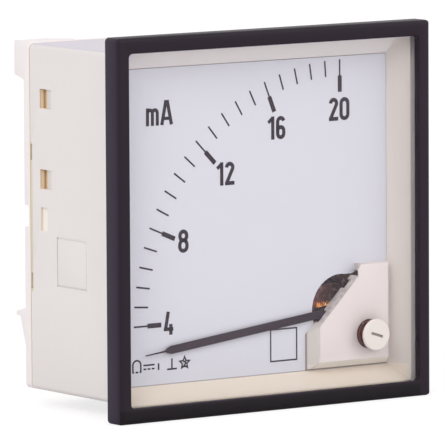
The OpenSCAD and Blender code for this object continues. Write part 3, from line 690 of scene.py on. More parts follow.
class SignShapes:
    """Plain condensed figures and instrument signs, drawn as strokes.

    Every figure is one unit high, with its lower left corner at the origin, and the
    strokes' middle lines stay half a stroke inside the edges.
    """

    def __init__(self, pen: float = 0.168, width: float = 0.49) -> None:
        """Keeps the stroke's width and a figure's width.

        Args:
            pen: The stroke's width.
            width: The figure's width.
        """
        self.pen = pen
        self.width = width

    def zero(self) -> list[Stroke]:
        """Draws 0 as a closed loop of two half rounds and two straights."""
        half, pen = self.width * 0.54, self.pen / 2
        top, low = 1.0 - half, half
        reach = half - pen
        loop = np.vstack([
            arc(half, top, reach, half - pen, 0, 180),
            arc(half, low, reach, half - pen, 180, 360),
        ])
        return [Stroke(loop, True)]

    def one(self) -> list[Stroke]:
        """Draws 1 with a short flag."""
        stem = self.width * 0.62
        return [Stroke(line((stem, 0.0), (stem, 1.0))),
                Stroke(line((stem - 0.24, 0.74), (stem - 0.02, 0.92)), False, self.pen * 0.9)]

    def two(self) -> list[Stroke]:
        """Draws 2: a round top, a slanting back and a flat foot."""
        half, pen = self.width / 2, self.pen / 2
        reach = half - pen
        top = arc(half, 1.0 - half, reach, half - pen, 178, -28, 15)
        return [Stroke(np.vstack([top, line((pen + 0.03, self.pen * 0.9))])),
                Stroke(line((0.0, pen), (self.width, pen)))]

    def four(self) -> list[Stroke]:
        """Draws the open 4: a slope, a bar and a short stem."""
        pen = self.pen / 2
        return [Stroke(line((self.width * 0.48, 1.0), (pen * 1.1, 0.26))),
                Stroke(line((0.0, 0.245), (self.width, 0.245)), False, self.pen * 0.9),
                Stroke(line((self.width * 0.74, 0.0), (self.width * 0.74, 0.46)))]

    def six(self) -> list[Stroke]:
        """Draws 6: a round bowl and a hooked back."""
        half, pen = self.width / 2, self.pen / 2
        reach = half - pen
        bowl = np.vstack([
            arc(half, 0.36, reach, half - pen, 0, 180),
            arc(half, half, reach, half - pen, 180, 360),
        ])
        back = np.vstack([
            line((pen, half)),
            arc(half, 1.0 - half, reach, half - pen, 180, 12, 12),
        ])
        return [Stroke(bowl, True), Stroke(back)]

    def eight(self) -> list[Stroke]:
        """Draws 8 as two loops that share their waist."""
        half, pen = self.width * 0.55, self.pen / 2
        reach = half - pen
        low = np.vstack([
            arc(half, 0.33, reach, 0.21, 0, 180),
            arc(half, half, reach, half - pen, 180, 360),
        ])
        inner = reach * 0.94
        top = np.vstack([
            arc(half, 1.0 - half, inner, half - pen, 0, 180),
            arc(half, 0.71, inner, 0.17, 180, 360),
        ])
        return [Stroke(low, True), Stroke(top, True)]

    def small_m(self) -> list[Stroke]:
        """Draws m: three stems under two arches."""
        pen = self.pen / 2
        tall, wide = 0.74, 0.66
        stems = [Stroke(line((pen, 0.0), (pen, tall)))]
        for side in (0.0, 1.0):
            left = pen + side * (wide / 2 - pen)
            span = wide / 2 - pen
            rise = 0.13
            arch = np.vstack([
                arc(left + span / 2, tall - pen - rise, span / 2, rise, 165, 0, 9),
                line((left + span, 0.0)),
            ])
            stems.append(Stroke(arch))
        return stems

    def large_a(self) -> list[Stroke]:
        """Draws A: two slopes and a bar."""
        wide, pen = 0.64, self.pen / 2
        return [Stroke(line((pen, 0.0), (wide / 2 - pen * 0.35, 1.0))),
                Stroke(line((wide - pen, 0.0), (wide / 2 + pen * 0.35, 1.0))),
                Stroke(line((0.13, 0.26), (wide - 0.13, 0.26)), False, self.pen * 0.8)]

    def horseshoe(self) -> list[Stroke]:
        """Draws the moving-coil sign: a tall arch over a broken line."""
        legs = np.vstack([
            line((0.06, 0.04)),
            arc(0.41, 0.62, 0.35, 0.33, 180, 0, 17),
            line((0.76, 0.04)),
        ])
        dashes = [Stroke(line((x, 0.08), (x + reach, 0.08)))
                  for x, reach in ((0.06, 0.1), (0.3, 0.23), (0.66, 0.1))]
        return [Stroke(legs)] + dashes

    def direct_current(self) -> list[Stroke]:
        """Draws the direct current sign: a line over three dashes."""
        dashes = [Stroke(line((x, 0.24), (x + 0.42, 0.24))) for x in (0.0, 0.62, 1.24)]
        return [Stroke(line((0.0, 0.73), (1.66, 0.73)))] + dashes

    def upright(self) -> list[Stroke]:
        """Draws the sign for upright use: a stem on a base."""
        stem, base = line((0.52, 0.06), (0.52, 1.0)), line((0.0, 0.06), (1.04, 0.06))
        return [Stroke(stem), Stroke(base)]

    def star(self) -> list[Stroke]:
        """Draws the test voltage sign: a five-pointed star with ten corners."""
        turn = np.radians(90.0 + 36.0 * np.arange(10))
        reach = np.where(np.arange(10) % 2 == 0, 0.5, 0.235)
        ring = np.stack([0.5 + reach * np.cos(turn), 0.48 + reach * np.sin(turn)], axis=1)
        return [Stroke(ring, True)]

    def frame_box(self) -> list[Stroke]:
        """Draws a plain square frame one unit wide."""
        return [Stroke(line((0.0, 0.0), (1.0, 0.0), (1.0, 1.0), (0.0, 1.0)), True)]


@dataclass
class DialPrint:
    """The figures and signs printed on the dial."""

    body: str = "meter"
    figure_height: float = 5.85
    ink_thickness: float = 0.05
    ink_sunk: float = 0.004
    shapes: SignShapes = field(default_factory=SignShapes)

    def ink(
        self, name: str, strokes: list[Stroke], x: float, z: float, height: float, pen: float
    ) -> bpy.types.Object:
        """Lays strokes on the dial as one thin closed piece.

        Each stroke is a ribbon of rectangular section: front left, front right, back
        right and back left edges in turn, with its ends closed.

        Args:
            name: The piece's name.
            strokes: The strokes in units of height.
            x: The left edge on the dial.
            z: The lower edge on the dial.
            height: The sign's height.
            pen: The stroke's width in units of height.

        Returns:
            The new piece.
        """
        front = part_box("dial_plate")[0][1] / MM - self.ink_thickness
        back = front + self.ink_thickness - self.ink_sunk
        points: list[Array] = []
        faces: list[list[int]] = []
        start = 0
        for stroke in strokes:
            left, right = flat_stroke(stroke.path, stroke.width or pen, stroke.closed)
            count = len(left)
            rings = np.empty((count, 4, 3))
            corners = ((left, front), (right, front), (right, back), (left, back))
            for place, (edge, depth) in enumerate(corners):
                rings[:, place, 0] = x + edge[:, 0] * height
                rings[:, place, 1] = depth
                rings[:, place, 2] = z + edge[:, 1] * height
            points.append(rings.reshape(-1, 3))
            faces.extend((grid_faces(count, 4, stroke.closed, True) + start).tolist())
            if not stroke.closed:
                faces.append([start + 3, start + 2, start + 1, start])
                faces.append([start + 4 * (count - 1) + index for index in range(4)])
            start += 4 * count
        made = make_piece(name, np.vstack(points), faces, self.body)
        outward(made)
        return made

    def figures(self, name: str, figures: list[list[Stroke]], x: float, z: float,
                gap: float = 0.09) -> bpy.types.Object:
        """Prints a row of figures centred on a point.

        Args:
            name: The piece's name.
            figures: Each figure's strokes.
            x: The middle of the row.
            z: The middle of the row's height.
            gap: The space between figures in units of their height.

        Returns:
            The new piece.
        """
        widths = [max(stroke.path[:, 0].max() for stroke in figure) + self.shapes.pen / 2
                  for figure in figures]
        total = sum(widths) + gap * (len(figures) - 1)
        moved: list[Stroke] = []
        along = 0.0
        for figure, width in zip(figures, widths):
            moved += [Stroke(stroke.path + (along, 0.0), stroke.closed, stroke.width)
                      for stroke in figure]
            along += width + gap
        height = self.figure_height
        left, low = x - total * height / 2, z - height / 2
        return self.ink(name, moved, left, low, height, self.shapes.pen)

    def build(self, ink: bpy.types.Material) -> list[bpy.types.Object]:
        """Prints every figure and sign.

        A figure's row holds its middle's X and Z. A sign's row holds its left edge, its
        lower edge, its height and its stroke's width in units of the height.

        Args:
            ink: The ink's material.

        Returns:
            The pieces.
        """
        shapes, small = self.shapes, SignShapes(0.24, 0.62)
        made = [
            self.figures("figure_4", [shapes.four()], -27.2, -24.7),
            self.figures("figure_8", [shapes.eight()], -22.8, -4.4),
            self.figures("figure_12", [shapes.one(), shapes.two()], -9.7, 11.7),
            self.figures("figure_16", [shapes.one(), shapes.six()], 5.8, 22.3),
            self.figures("figure_20", [shapes.two(), shapes.zero()], 25.4, 25.95, -0.01),
            self.ink("unit_sign_m", shapes.small_m(), -33.9, 25.0, 6.0, 0.148),
            self.ink("unit_sign_a", shapes.large_a(), -29.6, 25.05, 6.15, 0.155),
            self.ink("sign_moving_coil", shapes.horseshoe(), -38.5, -36.6, 3.4, 0.125),
            self.ink("sign_direct_current", shapes.direct_current(), -35.1, -36.2, 2.0, 0.2),
            self.ink("sign_class", [Stroke(line((0.5, 0.0), (0.5, 1.0)))], -31.4, -36.2, 1.7, 0.26),
            self.ink("sign_upright", shapes.upright(), -27.98, -36.43, 2.85, 0.15),
            self.ink("sign_test_voltage", shapes.star(), -24.18, -36.47, 3.06, 0.125),
            self.ink("sign_test_voltage_2", small.two(), -23.12, -36.1, 1.65, 0.24),
            self.ink("plain_frame", shapes.frame_box(), 3.78, -36.8, 8.05, 0.046),
        ]
        for piece in made:
            piece.data.materials.append(ink)
        return made


def outward(piece: bpy.types.Object) -> None:
    """Turns a closed piece's faces outwards.

    Args:
        piece: The piece.
    """
    work = bmesh.new()
    work.from_mesh(piece.data)
    bmesh.ops.recalc_face_normals(work, faces=work.faces)
    work.to_mesh(piece.data)
    work.free()


def crease(piece: bpy.types.Object, angle: float = 20.0) -> None:
    """Shades a piece smooth, with edges above an angle left crisp.

    Args:
        piece: The piece.
        angle: The angle in degrees.
    """
    mesh = piece.data
    mesh.polygons.foreach_set("use_smooth", [True] * len(mesh.polygons))
    mesh.set_sharp_from_angle(angle=math.radians(angle))


@dataclass
class SoftEdges:
    """Copies of solids with their sharp corners rounded a little, as a mould leaves them."""

    widths: dict[str, float]
    body: str = "meter"
    steps: int = 3
    sharpest: float = 32.0

    def soften(self, node: str, width: float) -> bpy.types.Object:
        """Makes the rounded copy of one solid and lets it stand for the solid.

        Flat facets are joined first, so that the rounding runs along whole edges.

        Args:
            node: The solid's name.
            width: The rounding's width in millimetres.

        Returns:
            The rounded piece.
        """
        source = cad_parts[node]
        mesh = source.data.copy()
        mesh.name = node + "_soft"
        work = bmesh.new()
        work.from_mesh(mesh)
        bmesh.ops.remove_doubles(work, verts=work.verts, dist=2e-6)
        bmesh.ops.dissolve_limit(work, angle_limit=math.radians(0.3), verts=work.verts,
                                 edges=work.edges)
        limit = math.radians(self.sharpest)
        sharp = [edge for edge in work.edges
                 if len(edge.link_faces) == 2 and edge.calc_face_angle(0.0) > limit]
        bmesh.ops.bevel(work, geom=sharp, offset=width * MM, offset_type="OFFSET",
                        segments=self.steps, profile=0.5, affect="EDGES", clamp_overlap=True)
        bmesh.ops.triangulate(work, faces=[face for face in work.faces if len(face.verts) > 4])
        work.to_mesh(mesh)
        work.free()
        made = bpy.data.objects.new(node + "_soft", mesh)
        bpy.context.scene.collection.objects.link(made)
        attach(made, self.body)
        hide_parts(node)
        crease(made)
        return made

    def build(self, wardrobe: "Wardrobe") -> None:
        """Makes every rounded copy and gives it its solid's finish."""
        for node, width in self.widths.items():
            made = self.soften(node, width)
            made.data.materials.clear()
            made.data.materials.append(wardrobe.material(NODE_FINISH[node]))
            LOG.info("softened %s by %.2f mm: %d faces", node, width, len(made.data.polygons))


@dataclass
class StudThread:
    """The terminal studs with their thread, and the hexagonal heads inside."""

    head_radius: float = 4.04
    radius: float = 1.995
    pitch: float = 0.7
    depth: float = 0.32
    tip: float = 0.4
    overlap: float = 0.3
    round_points: int = 28
    points_per_pitch: int = 8
    body: str = "meter"

    def thread(self, x: float, z: float, start: float, end: float) -> tuple[Array, list[list[int]]]:
        """Gives one threaded bar.

        The radius drops by the thread's depth times a triangle wave of the distance
        along the bar less the angle's share of a pitch, which makes the wave a helix.

        Args:
            x: The bar's X.
            z: The bar's Z.
            start: The front end's Y.
            end: The rear end's Y.

        Returns:
            The points and the faces.
        """
        count = int((end - start) / self.pitch * self.points_per_pitch)
        along = np.linspace(start, end, count)[:, None]
        angle = np.linspace(0.0, 2.0 * np.pi, self.round_points, endpoint=False)[None, :]
        phase = np.mod(along / self.pitch - angle / (2.0 * np.pi), 1.0)
        groove = self.depth * np.clip(2.0 * np.abs(phase - 0.5) * 1.3 - 0.15, 0.0, 1.0)
        radius = self.radius - groove
        radius = np.minimum(radius, self.radius - self.tip + (end - along))
        radius[0, :] = self.radius - self.depth
        points = np.stack(
            [x + radius * np.cos(angle), along + 0.0 * angle, z + radius * np.sin(angle)], axis=-1
        )
        faces = grid_faces(count, self.round_points, False, True).tolist()
        last = (count - 1) * self.round_points
        faces.append(list(range(self.round_points)))
        faces.append([last + index for index in reversed(range(self.round_points))])
        return points.reshape(-1, 3), faces

    def head(self, x: float, z: float, start: float, end: float) -> tuple[Array, list[list[int]]]:
        """Gives one hexagonal head as a closed prism."""
        angle = np.radians(60.0 * np.arange(6))
        reach = self.head_radius
        ring = np.stack(
            [x + reach * np.cos(angle), 0.0 * angle, z + reach * np.sin(angle)], axis=-1
        )
        points = np.vstack([ring + (0.0, start, 0.0), ring + (0.0, end, 0.0)])
        faces = grid_faces(2, 6, False, True).tolist() + [list(range(6)), [11, 10, 9, 8, 7, 6]]
        return points, faces

    def build(self, wardrobe: "Wardrobe") -> None:
        """Makes both studs as one piece that stands for the plain ones."""
        low, high = np.array(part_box("terminal_studs")) / MM
        z = (low[2] + high[2]) / 2
        board = np.array(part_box("circuit_board")) / MM
        points: list[Array] = []
        faces: list[list[int]] = []
        start = 0
        for side in (-1.0, 1.0):
            x = side * (high[0] - self.head_radius)
            for some, quads in (self.head(x, z, low[1], board[0][1]),
                                self.thread(x, z, board[0][1] - self.overlap, high[1])):
                points.append(some)
                faces.extend([[index + start for index in face] for face in quads])
                start += len(some)
        made = make_piece("threaded_studs", np.vstack(points), faces, self.body)
        outward(made)
        crease(made, 40.0)
        made.data.materials.append(wardrobe.material("brass"))
        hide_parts("terminal_studs")


@dataclass
class ChamferedNuts:
    """A pair of hexagonal nuts with turned chamfers on both faces."""

    corner_radius: float = 4.04
    bore_radius: float = 1.99
    round_points: int = 48
    body: str = "meter"

    def build(self, node: str, name: str, wardrobe: "Wardrobe") -> None:
        """Makes the pair that stands for a node's plain nuts.

        At each angle the hexagon's radius is its flat's distance over the cosine of
        the angle from the flat's middle, and the chamfer drops by the tangent of
        thirty degrees times how far that radius passes the face's edge.

        Args:
            node: The node of the plain nuts.
            name: The new piece's name.
            wardrobe: Where the finish comes from.
        """
        low, high = np.array(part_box(node)) / MM
        z = (low[2] + high[2]) / 2
        angle = np.linspace(0.0, 360.0, self.round_points, endpoint=False)
        flat = self.corner_radius * math.cos(math.radians(30.0))
        hexagon = flat / np.cos(np.radians(np.mod(angle, 60.0) - 30.0))
        face = np.full_like(angle, flat * 0.965)
        bore = np.full_like(angle, self.bore_radius)
        drop = (hexagon - face) * math.tan(math.radians(30.0))
        front, rear = low[1] + 0.0 * drop, high[1] + 0.0 * drop
        rows = [(bore, front), (face, front), (hexagon, front + drop),
                (hexagon, rear - drop), (face, rear), (bore, rear)]
        turn = np.radians(angle)
        points: list[Array] = []
        faces: list[list[int]] = []
        for number, side in enumerate((-1.0, 1.0)):
            x = side * (high[0] - self.corner_radius)
            grid = np.stack([np.stack([x + r * np.cos(turn), y, z + r * np.sin(turn)], axis=-1)
                             for r, y in rows])
            start = number * len(rows) * self.round_points
            points.append(grid.reshape(-1, 3))
            faces.extend((grid_faces(len(rows), self.round_points, True, True) + start).tolist())
        made = make_piece(name, np.vstack(points), faces, self.body)
        outward(made)
        crease(made, 20.0)
        made.data.materials.append(wardrobe.material(NODE_FINISH[node]))
        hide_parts(node)


# ---------------------------------------------------------------- dressing

@dataclass
class Wardrobe:
    """Gives every carried-over solid its finish."""

    finishes: dict[str, Any]
    nodes: dict[str, str]
    made: dict[str, bpy.types.Material] = field(default_factory=dict)

    def material(self, key: str) -> bpy.types.Material:
        """Builds a finish the first time it is asked for."""
        if key not in self.made:
            self.made[key] = self.finishes[key].build()
        return self.made[key]

    def dress(self) -> None:
        """Puts each node's finish on its object."""
        for node, key in self.nodes.items():
            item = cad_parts[node]
            item.data.materials.clear()
            item.data.materials.append(self.material(key))
            LOG.info("dressed %s in %s", node, key)


# How far the case's side walls lie from the middle.
SIDE_WALL = 43.8
# Past the side walls, and past every outer face, for tints that run on over an edge.
PAST_SIDES, PAST_ALL = 45.0, 50.0
# The heights of the clamp slots' middles, and half a slot's height.
SLOT_MIDDLES, SLOT_HALF = (30.2, 9.9), 2.55
# The lower and the upper edge of the shallow recess.
RECESS = (-3.3, 2.9)
# The pointer's pivot, where the turned finishes have their middle.
PIVOT = (25.6, 0.0, -24.95)
STRAW = srgb(222, 208, 178)


def case_tints() -> tuple[Tint, ...]:
    """Gives the case its tones: painted shade and warm light on the wall round the dial, painted
    shade on the top, the straw seam tone at the rear edge, and the painted light and shade in the
    slots and frame.
    """
    seat, case = np.array(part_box("dial_plate")) / MM, np.array(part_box("case_shell")) / MM
    front, dial, rear = case[0][1], seat[0][1], case[1][1]
    low, high = seat[0], seat[1]
    slope = 4.0
    # painted light and shade on the wall round the dial: a warm shaded tone on the right, a cool
    # shaded tone on the left, warm light below
    right_wall_shade = Tint((high[0] + 0.1, front - 1.0, low[2] - slope),
                      (PAST_SIDES, dial + 0.1, high[2] + slope), srgb(221, 213, 207), 0.5)
    left_wall_shade = Tint((-PAST_SIDES, front - 1.0, low[2] - slope),
                     (low[0] - 0.1, dial + 0.1, high[2] + slope), srgb(228, 226, 238), 0.5)
    lower_wall_warm_light = Tint((low[0] - slope, front - 1.0, -PAST_SIDES),
                      (high[0] + slope, dial + 0.1, low[2] - 0.1), srgb(234, 222, 207), 0.5)
    # painted shade: the top face darker and cooler than the sides
    top = Tint((-PAST_ALL, front, 43.55), (PAST_ALL, rear, PAST_ALL),
               srgb(219, 212, 224), 0.2, 0.9)
    side_joint = Tint((SIDE_WALL - 3.0, rear - 0.9, -19.0), (SIDE_WALL + 0.5, rear + 0.1, 19.0),
                      STRAW, 0.15, 0.8, True)
    rear_edge = Tint((-PAST_ALL, rear - 0.12, -PAST_ALL), (PAST_ALL, rear + 0.3, PAST_ALL),
                     STRAW, 0.12, 0.9)
    plain_tints = (right_wall_shade, left_wall_shade, lower_wall_warm_light, top, side_joint, rear_edge)
    return plain_tints + slot_tints(SIDE_WALL, rear - 4.5) + side_frame_tints(SIDE_WALL)


def slot_tints(side: float, wall: float) -> tuple[Tint, ...]:
    """Paints warm shade in the clamp slots' deep ends, shadow lines along their inner corners, rims
    and upper edges, and shade on their ramps; in the shallow recesses it paints shade at both ends
    and light on the floor between.

    Args:
        side: How far the side wall lies from the middle.
        wall: Where the slots' rear end wall stands.

    Returns:
        The tints of both slots and of the recess.
    """
    deep_end_shade, umber = srgb(236, 216, 182), srgb(166, 128, 98)

    def band(
        deep: tuple[float, float], run: tuple[float, float], tall: tuple[float, float],
        tone: tuple[float, float, float, float], soft: float, strength: float,
    ) -> Tint:
        """Gives a tint by its depth under the side wall, its run from the wall and its height."""
        return Tint((side - deep[0], wall + run[0], tall[0]),
                    (side - deep[1], wall + run[1], tall[1]), tone, soft, strength, True)

    made: list[Tint] = []
    for middle in SLOT_MIDDLES:
        slot = (middle - SLOT_HALF, middle + SLOT_HALF)
        # painted shade: warm in the deep end, dark lines at the inner corner, the outer rim and the
        # upper edge, and a darker ramp
        made += [
            band((2.6, 0.1), (-2.25, 0.2), slot, deep_end_shade, 0.12, 0.95),
            band((1.75, 1.2), (-0.5, 0.2), slot, umber, 0.3, 0.8),
            band((0.3, 0.05), (-0.1, 0.2), slot, umber, 0.15, 0.5),
            band((2.6, 0.1), (-0.5, 0.2), (slot[1] - 0.45, slot[1]), umber, 0.2, 0.6),
            band((0.9, 0.12), (-4.6, -2.2), slot, srgb(226, 219, 214), 0.1, 0.9),
        ]
    # painted shade at the recess's two ends and painted light on its floor between them
    made += [
        band((0.9, 0.08), (-0.1, 0.2), RECESS, srgb(226, 214, 190), 0.08, 0.95),
        band((0.9, 0.08), (-2.6, -0.1), RECESS, srgb(250, 246, 240), 0.08, 0.9),
        band((0.9, 0.08), (-3.3, -2.6), RECESS, srgb(214, 198, 172), 0.08, 0.9),
    ]
    return tuple(made)


def side_frame_tints(side: float) -> tuple[Tint, ...]:
    """Paints shade along three lines of the shallow moulded frame on the case's left side.

    Args:
        side: How far the side wall lies from the middle.

    Returns:
        The tints of the rear, the lower and the upper line.
    """
    shadow = srgb(184, 176, 176)
    rear_line = ((27.7, -16.7), (28.2, -4.2), 0.45)
    lower_line = ((14.7, -16.7), (28.2, -16.2), 0.25)
    upper_line = ((14.7, -4.7), (28.2, -4.2), 0.05)
    return tuple(
        Tint((-side - 0.1, low[0], low[1]), (-side + 0.4, high[0], high[1]), shadow, 0.06, strength)
        for low, high, strength in (rear_line, lower_line, upper_line)
    )


def bezel_tints() -> tuple[Tint, ...]:
    """Paints shade on the bezel's lower bar and painted light on its left face and its right bar.
    """
    low, high = np.array(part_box("front_bezel")) / MM
    front, rear, bar = -20.0, 40.0, 3.4
    return (
        Tint((low[0] - 1.0, front, low[2] - 1.0), (high[0] + 1.0, rear, low[2] + bar),
             (0.004, 0.003, 0.004, 1.0), 0.4),
        Tint((low[0] - 1.0, front, low[2] - 1.0), (low[0] + 0.3, rear, high[2] + 1.0),
             (0.0225, 0.0170, 0.033, 1.0), 0.2),
        Tint((high[0] - bar, front, low[2] - 1.0), (high[0] + 1.0, rear, high[2] + 1.0),
             (0.020, 0.0115, 0.022, 1.0), 0.3, 0.7),
    )


def cover_tints() -> tuple[Tint, ...]:
    """Paints shade on the corner cover's slanting and left sides, with paler flecks on the slanting
    one, painted light on its lower side, and painted contact shadow along its feet on the dial.
    """
    low, high = np.array(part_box("corner_cover")) / MM
    dial, bend, step = 6.0, -27.6, 31.0
    # painted shade on the slanting and left sides, painted light on the lower side, painted contact
    # shadow on the feet
    slanting = Tint((low[0] - 1.0, low[1] + 0.12, -28.6), (step, dial, high[2] + 1.0),
                    srgb(190, 181, 178), 0.1, 0.9, False, srgb(214, 206, 202), 1.4)
    left = Tint((low[0] - 1.0, low[1] + 0.1, low[2] + 1.5), (low[0] + 3.2, dial, bend),
                srgb(221, 215, 208), 0.2)
    lower = Tint((low[0] + 2.0, low[1] + 0.1, low[2] - 1.0), (high[0] + 1.0, dial, low[2] + 3.0),
                 (1.0, 0.955, 0.88, 1.0), 0.3)
    left_foot_shadow = Tint((low[0] - 1.0, high[1] - 0.45, low[2] - 1.0), (low[0] + 0.6, dial, bend),
                     srgb(132, 118, 112), 0.2, 0.85)
    lower_foot_shadow = Tint((low[0] - 1.0, high[1] - 0.4, low[2] - 1.0),
                      (high[0] + 1.0, dial, low[2] + 0.5), srgb(132, 118, 106), 0.2, 0.85)
    return slanting, left, lower, left_foot_shadow, lower_foot_shadow


def knob_tints() -> tuple[Tint, ...]:
    """Browns the zero screw's rim and shades the inside of its slot."""
    low, high = np.array(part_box("zero_screw")) / MM
    rim = Tint((low[0] - 1.0, low[1] + 0.75, low[2] - 1.0), (high[0] + 1.0, 6.0, high[2] + 1.0),
               srgb(120, 74, 62), 0.15, 1.0, False, srgb(240, 204, 160), 1.3, 0.6)
    slot = Tint((29.3, low[1] + 0.3, -33.6), (34.2, low[1] + 0.62, -29.2),
                srgb(168, 160, 158), 0.1, 1.0)
    return rim, slot


def finishes() -> dict[str, Any]:
    """Lists the meter's finishes by name.

    A plastic's numbers are its roughness, the size and depth of its grain, its drift and
    its gloss. A paint's are its roughness, the size and depth of its peel, its drift and
    its gloss. A metal's are its roughness and, after its lay, its tarnish.
    """
    # painted glint: a warm glow on the front hairspring's turns, given as emission
    glint = Tint((20.3, 5.0, -25.2), (24.2, 7.0, -23.5), srgb(255, 176, 92), 0.7, 1.0)
    seam = Tint((-PAST_ALL, 39.0, -PAST_ALL), (PAST_ALL, 40.17, PAST_ALL), STRAW, 0.12, 0.8)
    return {
        "black": MouldedPlastic("bezel_black_plastic", (0.0135, 0.0085, 0.0150, 1.0),
                                0.46, 0.22, 0.02, 0.1, 0.24, bezel_tints(),
                                (1.0, 0.88, 1.0, 1.0)),
        "cream": MouldedPlastic("case_cream_plastic", srgb(236, 231, 230),
                                0.5, 0.25, 0.012, 0.02, 0.4, case_tints()),
        "rear": MouldedPlastic("rear_cream_plastic", srgb(248, 242, 242),
                               0.5, 0.25, 0.012, 0.02, 0.4, (seam,)),
        "cover": MouldedPlastic("cover_cream_plastic", srgb(236, 227, 224),
                                0.42, 0.25, 0.01, 0.02, 0.4, cover_tints()),
        "knob": MouldedPlastic("zero_screw_plastic", srgb(236, 228, 223),
                               0.35, 0.2, 0.01, 0.02, 0.4, knob_tints()),
        "dial": MattPaint("dial_white_paint", srgb(223, 224, 233), 0.55, 1.2, 0.002, 0.012),
        "ink": MattPaint("dial_ink", srgb(40, 32, 45), 0.6, 0.5, 0.002, 0.1, 0.15),
        "pointer": MattPaint("pointer_paint", srgb(44, 34, 43), 0.6, 0.4, 0.004, 0.1, 0.2),
        "pane": ClearPane("window_pane", 0.03, srgb(248, 234, 246)),
        "copper": WoundWire("coil_wire", srgb(214, 134, 70), 0.18, 166.9),
        "steel": Metal("plated_steel", srgb(196, 196, 192), 0.34, Lay.TURNED, 0.15, PIVOT),
        "brass": Metal("turned_brass", srgb(206, 172, 104), 0.3, Lay.TURNED, 0.25, PIVOT),
        "bronze": Metal("spring_bronze", srgb(206, 144, 138), 0.36, Lay.ROLLED, 0.2, PIVOT,
                        1.0, glint, 0.55),
        "browned": Metal("browned_steel", srgb(146, 86, 70), 0.42, Lay.TURNED, 0.3, PIVOT,
                         1.0, None, 0.62),
        "aluminium": Metal("sheet_aluminium", srgb(205, 206, 210), 0.36, Lay.ROLLED, 0.15, PIVOT),
        "iron": Metal("soft_iron", srgb(150, 110, 108), 0.5, Lay.TURNED, 0.5, PIVOT,
                      0.6, None, 0.5),
        "magnet": Metal("magnet_alloy", srgb(160, 128, 124), 0.42, Lay.CAST, 0.4, PIVOT,
                        1.0, None, 0.52),
        "casting": Metal("base_casting", srgb(160, 158, 154), 0.5, Lay.CAST, 0.3, PIVOT),
        "board": BoardLaminate("board_laminate", srgb(36, 92, 56)),
        "resistor": MattPaint("resistor_lacquer", srgb(188, 170, 138), 0.4, 0.6, 0.01, 0.05),
        "wire": MouldedPlastic("wire_insulation", srgb(172, 40, 34), 0.4, 0.3, 0.01, 0.05),
    }


NODE_FINISH = {
    "front_bezel": "black", "window": "pane", "case_shell": "cream", "rear_cover": "rear",
    "corner_cover": "cover", "dial_plate": "dial", "scale_marks": "ink", "dial_screws": "steel",
    "pointer": "pointer", "balance_weight": "brass", "coil_former": "aluminium",
    "coil_winding": "copper", "front_pivot": "steel", "rear_pivot": "steel",
    "front_hairspring": "bronze", "rear_hairspring": "bronze", "zero_screw": "knob",
    "zero_screw_clip": "browned", "zero_lever": "bronze", "front_bridge": "brass",
    "bridge_screws": "steel", "front_jewel_screw": "brass", "front_lock_nut": "brass",
    "rear_jewel_screw": "brass", "rear_lock_nut": "brass", "yoke_ring": "iron",
    "core_magnet": "magnet", "core_wedges": "brass", "stop_pins": "bronze",
    "movement_base": "casting", "movement_screws": "steel", "spring_tag": "bronze",
    "circuit_board": "board", "resistors": "resistor", "lead_wires": "wire",
    "terminal_studs": "brass", "stud_washers": "steel", "stud_nuts": "brass",
    "wire_washers": "steel", "wire_nuts": "brass",
}
SOFT_WIDTHS = {
    "front_bezel": 0.35, "case_shell": 0.3, "rear_cover": 0.35, "corner_cover": 0.22,
    "stud_washers": 0.15, "wire_washers": 0.15,
}


# ---------------------------------------------------------------- studio

@dataclass(frozen=True)
class Lamp:
    """One soft area lamp."""

    name: str
    place: tuple[float, float, float]
    aim: tuple[float, float, float]
    size: float
    power: float


